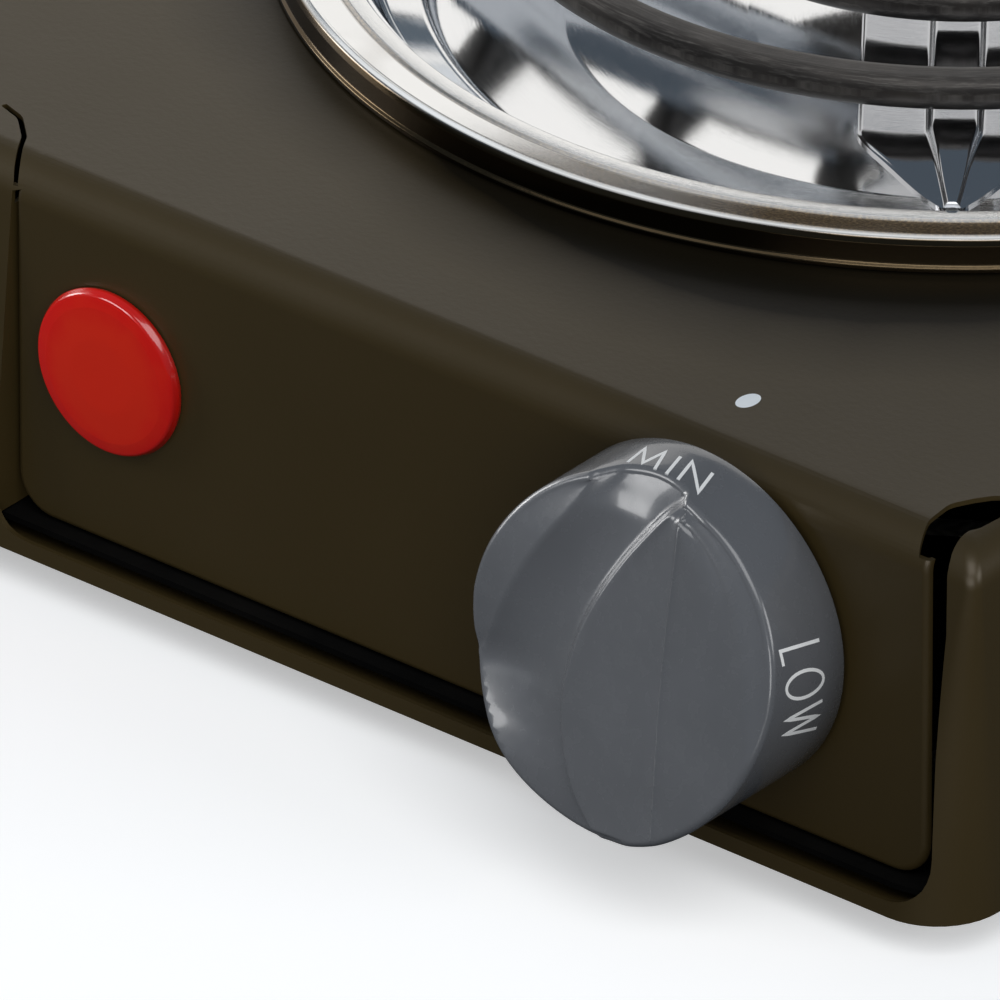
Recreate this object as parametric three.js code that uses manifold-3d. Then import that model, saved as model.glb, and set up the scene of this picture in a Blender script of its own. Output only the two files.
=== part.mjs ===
// Single-coil electric hot plate, millimetres, +Z up, standing on its feet at z = 0.
// Stamped steel housing with a bent-down control flap, trim ring, drip bowl, sheathed coil on three arms,
// control knob on a turning spindle, pilot lamp, and the wiring parts behind them.
import * as THREE from 'three';
import * as BufferGeometryUtils from 'three/addons/utils/BufferGeometryUtils.js';
import Module from 'manifold-3d';

const wasm = await Module();
wasm.setup();

// ---------- driving dimensions ----------
const FOOT_DROP = 6.5;            // how far the feet stand below the housing rim
const BODY_HEIGHT = 62.3;         // housing rim to deck
const DECK_Z = FOOT_DROP + BODY_HEIGHT;
const HALF_WIDTH = 119.6;
const FRONT_Y = -145;             // control flap plane, measured from the ring centre
const REAR_Y = 121;
const FRONT_FLARE = 5.3;          // how far the front surround leans out at the rim
const SHEET = 1.0;
const BEND_R = 6;                 // deck to wall bend
const CORNER_TOP_R = 2.2;         // plan radius of the corners at the deck
const CORNER_RIM_R = 11.5;        // plan radius of the corners at the rim
const DECK_HOLE_R = 97;

const FLAP_LEFT = -62.8;
const FLAP_RIGHT = 112.9;
const FLAP_DROP = 58;             // deck to the flap's lower edge
const FLAP_CORNER_R = 6.5;
const FLAP_GAP_LEFT = 0.8;
const FLAP_GAP_RIGHT = 3;
const WINDOW_DROP = 59.8;         // deck to the window's lower edge
const RELIEF_DEPTH = 3.8;         // how far the relief cuts run down the flap's bend

const RING_OUTER_R = 104.4;
const RING_INNER_R = 93.8;
const RING_HEIGHT = 5.8;
const BOWL_DEPTH = 14.5;
const TRAY_R = 94;
const TRAY_DEPTH = 24;

const TUBE_R = 3.2;
const TUBE_TOP_FLAT = 2.7;        // the pan side of the tube is pressed flat at this height over its centre
const COIL_TUBE_Z = 12.7;         // tube centre over the deck
const COIL_OUTER_R = 71;
const COIL_PITCH = 26.5;
const TERMINAL_ANGLE = 128;       // direction in which the cold ends leave, degrees from +X
const LEG_OFFSET = 9.5;

const ARM_ANGLES = [-52, 68, 188];
const ARM_WIDTH = 28.8;
const ARM_REACH = 94;
const ARM_INNER = 9;
const ARM_TAPER = 17.6;
const ARM_TIP_WIDTH = 3;
const ARM_BOTTOM = 5.9;
const ARM_SHEET = 1;
const ARM_RIB_TOP = 8.6;
const ARM_RIB_HALF = 4.8;         // half the foot width of the raised rib

const KNOB_X = 69.5;
const KNOB_DROP = 26.1;            // deck to the knob axis
const KNOB_R = 27.2;
const KNOB_REAR_GAP = 1.3;
const KNOB_FACE = 20.5;           // flap to the sloping front face, on the knob's axis
const KNOB_SLOPE_UP = 0.248;      // how fast the face falls back upwards
const KNOB_SLOPE_SIDE = 0.06;     // and towards +X
const KNOB_GRIP_RISE = 1.77;      // grip stands this far in front of the face
const KNOB_REACH = 28.5;          // flap to the foremost point of the grip
const KNOB_WALL = 2;
const KNOB_HUB_R = 7;
const SPINDLE_R = 3;
const RUNNING_GAP = 0.35;

const LAMP_X = -44;
const LAMP_DROP = 28;
const LAMP_R = 13.6;

const FOOT_X = 92;
const FOOT_FRONT_Y = -118;
const FOOT_REAR_Y = 92;
const PLATE_Z = FOOT_DROP + 2.9;  // underside of the base plate
const BUSH_X = 62;
const BUSH_Z = FOOT_DROP + 20;
const GAP = 0.3;

const KNOB_FRONT = -FRONT_Y + KNOB_REACH;
const BUSH_REACH = REAR_Y + 3.4;
const KNOB_Z = DECK_Z - KNOB_DROP;
const LAMP_Z = DECK_Z - LAMP_DROP;

// ---------- materials ----------
const paint = (color, roughness, metalness) => (
  new THREE.MeshStandardMaterial({ color, roughness, metalness }));
const enamel = paint(0x3a3226, 0.42, 0.0);
const chrome = paint(0xd8dad8, 0.12, 1.0);
const steel = paint(0x9a9b9c, 0.35, 1.0);
const dullSteel = paint(0x6f7172, 0.5, 1.0);
const sheath = paint(0x46423e, 0.45, 0.8);
const greyPlastic = paint(0x62656a, 0.28, 0.0);
const redLens = paint(0xb01510, 0.15, 0.0);
const rubber = paint(0x151515, 0.8, 0.0);
const ceramic = paint(0xe6e0d2, 0.6, 0.0);
const bakelite = paint(0x2a211c, 0.5, 0.0);
const brass = paint(0xb5924c, 0.35, 1.0);
const glass = paint(0xe8e2d8, 0.1, 0.0);
const sleeve = paint(0xd9d4c4, 0.8, 0.0);
const earthSleeve = paint(0x4c7a35, 0.7, 0.0);

// ---------- geometry helpers ----------
const rad = THREE.MathUtils.degToRad;

// a profile may be given in either direction: a solid that comes out inside out is turned round
function toSolid(geometry) {
  const bare = geometry.clone();
  for (const name of Object.keys(bare.attributes)) {
    if (name !== 'position') bare.deleteAttribute(name);
  }
  const merged = BufferGeometryUtils.mergeVertices(bare, 1e-4);
  const vertProperties = Float32Array.from(merged.attributes.position.array);
  const triVerts = Uint32Array.from(merged.index.array);
  const make = () => new wasm.Manifold(new wasm.Mesh({ numProp: 3, vertProperties, triVerts }));
  const solid = make();
  if (solid.volume() > 0) return solid;
  for (let i = 0; i < triVerts.length; i += 3) {
    [triVerts[i], triVerts[i + 1]] = [triVerts[i + 1], triVerts[i]];
  }
  return make();
}

function toGeometry(solid) {
  const data = solid.getMesh();
  const geometry = new THREE.BufferGeometry();
  geometry.setAttribute('position', new THREE.Float32BufferAttribute(data.vertProperties, 3));
  geometry.setIndex(Array.from(data.triVerts));
  geometry.computeVertexNormals();
  return geometry;
}

function box(x0, x1, y0, y1, z0, z1) {
  const geometry = new THREE.BoxGeometry(x1 - x0, y1 - y0, z1 - z0);
  geometry.translate((x0 + x1) / 2, (y0 + y1) / 2, (z0 + z1) / 2);
  return geometry;
}

function rod(radius, length, sides = 16) {
  return new THREE.CylinderGeometry(radius, radius, length, sides);
}

// cylinder standing on z0 with its axis along +Z
function post(radius, x, y, z0, z1, sides = 14) {
  return rod(radius, z1 - z0, sides).rotateX(Math.PI / 2).translate(x, y, (z0 + z1) / 2);
}

// cylinder with its axis along Y between y0 and y1
function bar(radius, x, z, y0, y1, sides = 20) {
  return rod(radius, y1 - y0, sides).translate(x, (y0 + y1) / 2, z);
}

// ring-shaped or disc-shaped body of revolution about +Z from [radius, z] pairs that close on themselves
function turned(profile, segments = 48) {
  const points = profile.map(([r, z]) => new THREE.Vector2(r, z));
  if (profile[0][0] > 0) points.push(points[0].clone());
  return new THREE.LatheGeometry(points, segments).rotateX(Math.PI / 2);
}

// the same with the axis of revolution along -Y: z of the profile becomes the distance in front
function turnedForward(profile, x, y, z, segments = 40) {
  return turned(profile, segments).rotateX(Math.PI / 2).translate(x, y, z);
}

function loft(rings) {
  const count = rings[0].length;
  const positions = [];
  const index = [];
  for (const ring of rings) for (const p of ring) positions.push(...p);
  for (let i = 0; i + 1 < rings.length; i += 1) {
    for (let j = 0; j < count; j += 1) {
      const a = i * count + j;
      const b = i * count + ((j + 1) % count);
      index.push(a, b, b + count, a, b + count, a + count);
    }
  }
  const top = (rings.length - 1) * count;
  for (let j = 1; j + 1 < count; j += 1) {
    index.push(0, j + 1, j);
    index.push(top, top + j, top + j + 1);
  }
  const geometry = new THREE.BufferGeometry();
  geometry.setAttribute('position', new THREE.Float32BufferAttribute(positions, 3));
  geometry.setIndex(index);
  return geometry;
}

function roundedRing(x0, x1, y0, y1, z, radius, steps = 4) {
  const corners = [
    [x1 - radius, y1 - radius, 0], [x0 + radius, y1 - radius, 90],
    [x0 + radius, y0 + radius, 180], [x1 - radius, y0 + radius, 270],
  ];
  const ring = [];
  for (const [cx, cy, start] of corners) {
    for (let k = 0; k <= steps; k += 1) {
      const a = rad(start + (90 * k) / steps);
      ring.push([cx + radius * Math.cos(a), cy + radius * Math.sin(a), z]);
    }
  }
  return ring;
}

function plate(outline, depth) {
  const shape = new THREE.Shape(outline.map(([x, y]) => new THREE.Vector2(x, y)));
  return new THREE.ExtrudeGeometry(shape, { depth, bevelEnabled: false });
}

function arc(cx, cy, radius, from, to, steps) {
  return Array.from({ length: steps + 1 }, (_, k) => {
    const a = rad(from + ((to - from) * k) / steps);
    return [cx + radius * Math.cos(a), cy + radius * Math.sin(a)];
  });
}

// point at distance d along the terminal direction and n across it
function terminalPoint(d, n, z) {
  const a = rad(TERMINAL_ANGLE);
  return new THREE.Vector3(
    d * Math.cos(a) - n * Math.sin(a), d * Math.sin(a) + n * Math.cos(a), z);
}

function terminalBox(d0, d1, n0, n1, z0, z1) {
  return box(d0, d1, n0, n1, z0, z1).rotateZ(rad(TERMINAL_ANGLE));
}

const model = new THREE.Group();
const assembly = new THREE.Group();
assembly.position.y = (KNOB_FRONT - BUSH_REACH) / 2;
model.add(assembly);

function addPart(name, shape, material) {
  const geometry = shape.isBufferGeometry ? toGeometry(toSolid(shape)) : toGeometry(shape);
  const mesh = new THREE.Mesh(geometry, material);
  mesh.name = name;
  assembly.add(mesh);
  return mesh;
}

// ---------- housing: deck, walls and the control flap, one stamped sheet ----------
function housingSolid(inset) {
  const rings = [];
  const rim = inset > 0 ? FOOT_DROP - 4 : FOOT_DROP;
  const top = DECK_Z - inset;
  const bend = BEND_R - inset;
  const levels = [rim];
  for (let k = 1; k <= 4; k += 1) levels.push(rim + ((top - bend - rim) * k) / 4);
  const wallRing = (z, pull) => {
    const down = (DECK_Z - BEND_R - z) / (BODY_HEIGHT - BEND_R);
    const lean = FRONT_FLARE * Math.max(0, down);
    const corner = THREE.MathUtils.lerp(CORNER_TOP_R, CORNER_RIM_R, THREE.MathUtils.clamp(down, 0, 1));
    return roundedRing(
      -HALF_WIDTH + inset + pull, HALF_WIDTH - inset - pull,
      FRONT_Y - lean + inset + pull, REAR_Y - inset - pull,
      z, Math.max(0.6, corner - inset * 0.5 - pull * 0.2));
  };
  for (const z of levels) rings.push(wallRing(z, 0));
  for (let k = 1; k <= 4; k += 1) {
    const a = rad((90 * k) / 4);
    rings.push(wallRing(top - bend + bend * Math.sin(a), bend * (1 - Math.cos(a))));
  }
  return toSolid(loft(rings));
}

function flapSolid() {
  const bendY = FRONT_Y + BEND_R;
  const bendZ = DECK_Z - BEND_R;
  const outer = arc(bendY, bendZ, BEND_R, 90, 180, 5);
  const inner = arc(bendY, bendZ, BEND_R - SHEET, 180, 90, 5);
  const foot = DECK_Z - FLAP_DROP;
  const profile = [
    [bendY + 8, DECK_Z], ...outer, [FRONT_Y, foot], [FRONT_Y + SHEET, foot], ...inner,
    [bendY + 8, DECK_Z - SHEET],
  ];
  const bent = plate(profile, FLAP_RIGHT - FLAP_LEFT)
    .applyMatrix4(new THREE.Matrix4().makeBasis(
      new THREE.Vector3(0, 1, 0), new THREE.Vector3(0, 0, 1), new THREE.Vector3(1, 0, 0)))
    .translate(FLAP_LEFT, 0, 0);
  const r = FLAP_CORNER_R;
  const face = plate([
    ...arc(FLAP_LEFT + r, foot + r, r, 180, 270, 5),
    ...arc(FLAP_RIGHT - r, foot + r, r, 270, 360, 5),
    [FLAP_RIGHT, DECK_Z + 5], [FLAP_LEFT, DECK_Z + 5],
  ], 40).rotateX(Math.PI / 2).translate(0, -120, 0);
  return toSolid(bent).intersect(toSolid(face));
}

// crescent relief cuts at the two ends of the flap's bend, (x from the flap's edge, y behind the front)
const RELIEF_RIGHT = [
  [-0.6, -5], [-0.6, -1], [-2.1, 1], [-4.8, 4.8], [-5.9, 10.4], [-4.5, 13.9], [-2.5, 16.8], [0.2, 17.8],
  [2.4, 16.4], [1.8, 12.7], [1.5, 7.8], [3, 5.4], [3, -5],
];
const RELIEF_LEFT = [
  [0.3, -5], [0.3, 0], [-0.9, 2.2], [-2.4, 4.6], [-4.2, 7.8], [-8.6, 12.2], [-13, 13.8],
  [-13.5, 11.4], [-9.4, 10.2], [-5.5, 6.4], [-3.6, 3.2], [-2.2, 1], [-0.8, 0], [-0.8, -5],
];
function reliefSolid(outline, edgeX) {
  return toSolid(plate(outline, RELIEF_DEPTH + 3)).translate([edgeX, FRONT_Y, DECK_Z - RELIEF_DEPTH]);
}

const windowCut = toSolid(box(
  FLAP_LEFT - FLAP_GAP_LEFT, FLAP_RIGHT + FLAP_GAP_RIGHT,
  FRONT_Y - 20, FRONT_Y + BEND_R + 2, DECK_Z - WINDOW_DROP, DECK_Z + 5));

const SCREW_SPOTS = [[-108, -95], [108, -95], [-108, 70], [108, 70]];
const BASE_SCREW_HOLE_R = 2.1;

let housing = housingSolid(0).subtract(housingSolid(SHEET));
housing = housing.subtract(windowCut).add(flapSolid());
housing = housing.subtract(reliefSolid(RELIEF_RIGHT, FLAP_RIGHT));
housing = housing.subtract(reliefSolid(RELIEF_LEFT, FLAP_LEFT));
housing = housing.subtract(toSolid(post(DECK_HOLE_R, 0, 0, DECK_Z - 5, DECK_Z + 5, 48)));
housing = housing.subtract(toSolid(bar(5.4, KNOB_X, KNOB_Z, FRONT_Y - 3, FRONT_Y + 4)));
housing = housing.subtract(toSolid(bar(10.6, LAMP_X, LAMP_Z, FRONT_Y - 3, FRONT_Y + 4, 32)));
housing = housing.subtract(toSolid(bar(6.2, BUSH_X, BUSH_Z, REAR_Y - 4, REAR_Y + 4)));
for (let k = 0; k < 7; k += 1) {
  const x = -70 + k * 14;
  housing = housing.subtract(toSolid(box(x, x + 4, REAR_Y - 4, REAR_Y + 4, DECK_Z - 34, DECK_Z - 14)));
}
for (const [x, y] of SCREW_SPOTS) {
  const side = Math.sign(x);
  const near = x - side * 7;
  const wall = side * (HALF_WIDTH - SHEET / 2);
  const tab = toSolid(box(
    Math.min(near, wall), Math.max(near, wall), y - 8, y + 8, PLATE_Z + 1.4, PLATE_Z + 2.6));
  const hole = toSolid(post(BASE_SCREW_HOLE_R, x, y, PLATE_Z, PLATE_Z + 5));
  housing = housing.add(tab).subtract(hole);
}
addPart('housing', housing, enamel);

// ---------- base plate, feet and their screws ----------
const plateInset = 2.2;
const FEET = {
  front_left: [-FOOT_X, FOOT_FRONT_Y], front_right: [FOOT_X, FOOT_FRONT_Y],
  rear_left: [-FOOT_X, FOOT_REAR_Y], rear_right: [FOOT_X, FOOT_REAR_Y],
};
const basePlateRing = (z) => roundedRing(
  -HALF_WIDTH + plateInset, HALF_WIDTH - plateInset,
  FRONT_Y - FRONT_FLARE + 3.2, REAR_Y - plateInset, z, CORNER_RIM_R - 1);
let basePlate = toSolid(loft([basePlateRing(PLATE_Z), basePlateRing(PLATE_Z + 1)]));
for (const [x, y] of SCREW_SPOTS) {
  basePlate = basePlate.subtract(toSolid(post(BASE_SCREW_HOLE_R, x, y, 0, 20)));
}
for (const [x, y] of Object.values(FEET)) basePlate = basePlate.subtract(toSolid(post(2.2, x, y, 0, 20)));
for (let row = -1; row <= 1; row += 1) {
  for (let k = 0; k < 6; k += 1) {
    const x = -60 + k * 24;
    basePlate = basePlate.subtract(toSolid(box(x - 8, x + 8, row * 34 - 20, row * 34 - 15, 0, 20)));
  }
}
const EARTH_SPOT = [94, 40];
basePlate = basePlate.subtract(toSolid(post(2, EARTH_SPOT[0], EARTH_SPOT[1], 0, 20)));
addPart('base_plate', basePlate, steel);

const footProfile = [
  [5.2, 0], [9, 0], [10, 1.2], [9.2, PLATE_Z - GAP], [2.4, PLATE_Z - GAP], [2.4, 4.2], [5.2, 4.2],
];
const footScrewProfile = [
  [0, 2], [4.4, 2], [4.4, 3.2], [3.6, 3.9], [1.9, 3.9], [1.9, PLATE_Z + 4.5], [0, PLATE_Z + 5],
];
const baseScrewProfile = [
  [0, PLATE_Z - 2.3], [2.8, PLATE_Z - 2.1], [3.6, PLATE_Z - 1.2], [3.6, PLATE_Z - GAP],
  [1.75, PLATE_Z - GAP], [1.75, PLATE_Z + 6], [0, PLATE_Z + 7],
];
for (const [place, [x, y]] of Object.entries(FEET)) {
  addPart(`foot_${place}`, turned(footProfile, 14).translate(x, y, 0), rubber);
  addPart(`foot_screw_${place}`, turned(footScrewProfile, 10).translate(x, y, 0), dullSteel);
}
SCREW_SPOTS.forEach(([x, y], i) => {
  addPart(`base_screw_${i + 1}`, turned(baseScrewProfile, 10).translate(x, y, 0), dullSteel);
});

// ---------- trim ring, drip bowl and heat tray ----------
const onDeck = ([r, z]) => [r, z + DECK_Z];
const ringProfile = [
  [RING_OUTER_R, GAP], [RING_OUTER_R, RING_HEIGHT - 1.3], [RING_OUTER_R - 1.2, RING_HEIGHT],
  [97.6, RING_HEIGHT], [96.4, RING_HEIGHT - 0.6], [RING_INNER_R, RING_HEIGHT - 0.6],
  [RING_INNER_R, RING_HEIGHT - 1.5], [96.7, RING_HEIGHT - 1.5], [98, RING_HEIGHT - 0.9],
  [RING_OUTER_R - 1.7, RING_HEIGHT - 0.9], [RING_OUTER_R - 1, RING_HEIGHT - 1.7], [RING_OUTER_R - 1, GAP],
].map(onDeck);
addPart('trim_ring', turned(ringProfile, 40), chrome);

const bowlTop = [
  [96, 3.8], [93.2, 3.8], [91.6, 1.8], [88, -5], [80, -9.5], [60, -12.4], [32, -13.9], [8, -BOWL_DEPTH],
];
const bowlUnder = bowlTop.map(([r, z], i) => [r + (i === 0 || i > 5 ? 0 : 0.7), z - 0.8]).reverse();
let bowl = toSolid(turned([...bowlTop, ...bowlUnder].map(onDeck), 32));
bowl = bowl.subtract(toSolid(terminalBox(78, 96, -16, 16, DECK_Z - 16, DECK_Z + 2.6)));
addPart('drip_bowl', bowl, chrome);

const trayProfile = [
  [103, -1.3], [TRAY_R - 1, -1.3], [TRAY_R - 1, -TRAY_DEPTH + 2.5], [TRAY_R - 3, -TRAY_DEPTH + 0.9],
  [3.4, -TRAY_DEPTH + 0.9], [3.4, -TRAY_DEPTH], [TRAY_R - 2.6, -TRAY_DEPTH], [TRAY_R, -TRAY_DEPTH + 2.3],
  [TRAY_R, -2.2], [103, -2.2],
].map(onDeck);
let tray = toSolid(turned(trayProfile, 28));
tray = tray.subtract(toSolid(terminalBox(88, 98.5, -16, 16, DECK_Z - 15, DECK_Z - 4)));
addPart('heat_tray', tray, steel);

// ---------- heating coil: one sheathed tube, flat on the pan side, with two cold legs ----------
function coilPath() {
  const points = [
    terminalPoint(106, LEG_OFFSET, -9), terminalPoint(99, LEG_OFFSET, -9), terminalPoint(92, LEG_OFFSET, -9),
    terminalPoint(84, 10.5, -6.5), terminalPoint(76, 14.5, 0),
  ];
  const turn = (degrees, z) => {
    const swept = degrees - TERMINAL_ANGLE;
    const steps = [285, 285 + 360];
    let r = COIL_OUTER_R;
    for (const from of steps) r -= COIL_PITCH * THREE.MathUtils.smootherstep(swept, from, from + 95);
    const a = rad(degrees);
    return new THREE.Vector3(r * Math.cos(a), r * Math.sin(a), z);
  };
  points.push(turn(TERMINAL_ANGLE + 20, 7), turn(TERMINAL_ANGLE + 31, 11.4));
  for (let a = TERMINAL_ANGLE + 42; a <= TERMINAL_ANGLE + 1010; a += a < TERMINAL_ANGLE + 660 ? 10 : 16) {
    points.push(turn(a, COIL_TUBE_Z));
  }
  points.push(
    terminalPoint(14.5, -13.2, 12.4), terminalPoint(24, -10.6, 10.2), terminalPoint(34, -9.7, 6.6),
    terminalPoint(44, -LEG_OFFSET, 4.6), terminalPoint(58, -LEG_OFFSET, 3.4),
    terminalPoint(70, -LEG_OFFSET, -0.4), terminalPoint(80, -LEG_OFFSET, -5.6),
    terminalPoint(92, -LEG_OFFSET, -9), terminalPoint(99, -LEG_OFFSET, -9),
    terminalPoint(106, -LEG_OFFSET, -9));
  return points;
}

function sweepTube(points) {
  const sides = 8;
  const up = new THREE.Vector3(0, 0, 1);
  const rings = points.map((p, i) => {
    const ahead = points[Math.min(i + 1, points.length - 1)];
    const behind = points[Math.max(i - 1, 0)];
    const tangent = new THREE.Vector3().subVectors(ahead, behind).normalize();
    const across = new THREE.Vector3().crossVectors(tangent, up).normalize();
    const over = new THREE.Vector3().crossVectors(across, tangent).normalize();
    return Array.from({ length: sides }, (_, k) => {
      const a = (2 * Math.PI * (k + 0.5)) / sides;
      const height = Math.min(TUBE_R * Math.sin(a), TUBE_TOP_FLAT);
      return new THREE.Vector3().copy(p)
        .addScaledVector(across, -TUBE_R * Math.cos(a))
        .addScaledVector(over, height)
        .add(new THREE.Vector3(0, 0, DECK_Z))
        .toArray();
    });
  });
  return loft(rings);
}

let coil = toSolid(sweepTube(coilPath()));
for (const side of [-1, 1]) {
  const pin = rod(1.5, 16, 12).rotateZ(Math.PI / 2).translate(110, side * LEG_OFFSET, DECK_Z - 9)
    .rotateZ(rad(TERMINAL_ANGLE));
  coil = coil.add(toSolid(pin));
}
addPart('heating_coil', coil, sheath);

// ---------- support arms and the centre fixing ----------
function armSolid(angle) {
  const half = ARM_WIDTH / 2;
  const flat = plate([
    [ARM_INNER, -half * 0.5], [ARM_INNER + 8, -half], [ARM_REACH - ARM_TAPER, -half],
    [ARM_REACH, -ARM_TIP_WIDTH / 2], [ARM_REACH, ARM_TIP_WIDTH / 2], [ARM_REACH - ARM_TAPER, half],
    [ARM_INNER + 8, half], [ARM_INNER, half * 0.5],
  ], ARM_SHEET).translate(0, 0, ARM_BOTTOM);
  const ribRing = (z, inset) => [
    [16 + inset, -ARM_RIB_HALF + inset], [ARM_REACH - ARM_TAPER, -ARM_RIB_HALF + inset],
    [ARM_REACH - 4 - inset, -1.5 + inset * 0.5], [ARM_REACH - 4 - inset, 1.5 - inset * 0.5],
    [ARM_REACH - ARM_TAPER, ARM_RIB_HALF - inset], [16 + inset, ARM_RIB_HALF - inset],
  ].map(([x, y]) => [x, y, z]);
  const rib = loft([ribRing(ARM_BOTTOM, 0), ribRing(ARM_RIB_TOP, 1.2)]);
  return toSolid(flat).add(toSolid(rib)).rotate([0, 0, angle]).translate([0, 0, DECK_Z]);
}
ARM_ANGLES.forEach((angle, i) => addPart(`support_arm_${i + 1}`, armSolid(angle), chrome));

const capProfile = [
  [3, 7.2], [13, 7.2], [13, 8.0], [10.5, 9.1], [3, 9.5],
].map(onDeck);
addPart('centre_cap', turned(capProfile, 24), chrome);
const boltProfile = [
  [0, -29], [2.4, -29], [2.4, 9.8], [4.6, 9.8], [4.4, 11.2], [2.6, 12.0], [0, 12.2],
].map(onDeck);
addPart('centre_bolt', turned(boltProfile, 12), dullSteel);
const centreNut = toSolid(post(5.2, 0, 0, DECK_Z - 28, DECK_Z - TRAY_DEPTH - GAP, 6))
  .subtract(toSolid(post(2.75, 0, 0, DECK_Z - 30, DECK_Z - 20)));
addPart('centre_nut', centreNut, dullSteel);

// ---------- terminal block under the deck ----------
let block = toSolid(terminalBox(106.4, 122, -18, 18, DECK_Z - 17, DECK_Z - 2.2));
let clampPlate = toSolid(terminalBox(99.5, 100.8, -17, 17, DECK_Z - 15, DECK_Z - 2.6));
for (const side of [-1, 1]) {
  const pinHole = rod(1.9, 14, 16).rotateZ(Math.PI / 2).translate(112, side * LEG_OFFSET, DECK_Z - 9);
  const legHole = rod(TUBE_R + 0.4, 8, 24).rotateZ(Math.PI / 2).translate(100, side * LEG_OFFSET, DECK_Z - 9);
  const screwHole = post(1.9, 0, 0, -20, -11.2, 16).translate(115, side * LEG_OFFSET, DECK_Z);
  block = block.subtract(toSolid(pinHole.rotateZ(rad(TERMINAL_ANGLE))));
  block = block.subtract(toSolid(screwHole.rotateZ(rad(TERMINAL_ANGLE))));
  clampPlate = clampPlate.subtract(toSolid(legHole.rotateZ(rad(TERMINAL_ANGLE))));
}
addPart('terminal_block', block, ceramic);
addPart('coil_clamp_plate', clampPlate, steel);
[-1, 1].forEach((side, i) => {
  const spot = terminalPoint(115, side * LEG_OFFSET, DECK_Z);
  const screw = turned([[0, -19.4], [3.4, -19.4], [3.4, -17.3], [1.6, -17.3], [1.6, -11.6], [0, -11.4]], 16);
  addPart(`terminal_screw_${i + 1}`, screw.translate(spot.x, spot.y, spot.z), brass);
});

// ---------- heat control: thermostat, spindle, knob ----------
const flapBack = FRONT_Y + SHEET;
const bracketFront = flapBack + GAP;
let bracket = toSolid(box(
  KNOB_X - 20, KNOB_X + 20, bracketFront, bracketFront + 1.2, KNOB_Z - 19, KNOB_Z + 15));
bracket = bracket.subtract(toSolid(bar(5.4, KNOB_X, KNOB_Z, FRONT_Y - 3, FRONT_Y + 6)));
addPart('thermostat_bracket', bracket, steel);

const thermostatFront = bracketFront + 1.5;
let thermostat = toSolid(box(
  KNOB_X - 15, KNOB_X + 15, thermostatFront, thermostatFront + 24, KNOB_Z - 16, KNOB_Z + 14));
thermostat = thermostat.add(toSolid(bar(4.9, KNOB_X, KNOB_Z, FRONT_Y - 4.6, thermostatFront + 4)));
for (const side of [-1, 1]) {
  thermostat = thermostat.add(toSolid(box(
    KNOB_X + side * 8 - 3, KNOB_X + side * 8 + 3,
    thermostatFront + 22, thermostatFront + 32, KNOB_Z - 0.4, KNOB_Z + 0.4)));
}
const boreBack = thermostatFront + 14;
thermostat = thermostat.subtract(toSolid(
  bar(SPINDLE_R + RUNNING_GAP, KNOB_X, KNOB_Z, FRONT_Y - 6, boreBack, 24)));
addPart('thermostat_body', thermostat, bakelite);
const thermostatNut = toSolid(bar(8, KNOB_X, KNOB_Z, FRONT_Y - 3.8, FRONT_Y - GAP, 6))
  .subtract(toSolid(bar(5.2, KNOB_X, KNOB_Z, FRONT_Y - 5, FRONT_Y + 1)));
addPart('thermostat_nut', thermostatNut, brass);

function dShape(radius, flat) {
  const edge = THREE.MathUtils.radToDeg(Math.acos(flat / radius));
  return arc(0, 0, radius, edge, 360 - edge, 20);
}
const knobRear = FRONT_Y - KNOB_REAR_GAP;
const spindleFront = FRONT_Y - 13;

// D-section solid between y0 and y1 about the knob axis, flat side up
function dBar(radius, flat, y0, y1) {
  const geometry = plate(dShape(radius, flat), y1 - y0);
  geometry.applyMatrix4(new THREE.Matrix4().makeBasis(
    new THREE.Vector3(0, 0, 1), new THREE.Vector3(1, 0, 0), new THREE.Vector3(0, 1, 0)));
  return geometry.translate(KNOB_X, y0, KNOB_Z);
}
const roundShank = toSolid(bar(SPINDLE_R, KNOB_X, KNOB_Z, FRONT_Y - 6.2, boreBack - 0.6, 24));
const dShank = toSolid(dBar(SPINDLE_R, SPINDLE_R - 1, spindleFront, FRONT_Y - 5.8));
addPart('spindle', roundShank.add(dShank), steel);

// what lies behind a plane parallel to the knob's sloping face, at that distance from the flap on the axis
function behindFace(solid, distance) {
  const normal = new THREE.Vector3(-KNOB_SLOPE_SIDE, 1, -KNOB_SLOPE_UP);
  const through = new THREE.Vector3(KNOB_X, FRONT_Y - distance, KNOB_Z);
  return solid.trimByPlane(normal.toArray(), through.dot(normal) / normal.length());
}
function knobBar(radius, from, to, sides) {
  return toSolid(bar(radius, KNOB_X, KNOB_Z, FRONT_Y - to, FRONT_Y - from, sides));
}
const knobHub = knobBar(KNOB_HUB_R, 6.5, KNOB_REACH, 24);
const knobCavity = knobBar(KNOB_R - KNOB_WALL, 0, KNOB_REACH, 36).subtract(knobHub);
let knob = behindFace(knobBar(KNOB_R, KNOB_REAR_GAP, KNOB_REACH, 48), KNOB_FACE)
  .subtract(behindFace(knobCavity, KNOB_FACE - KNOB_WALL - 0.2));

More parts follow.
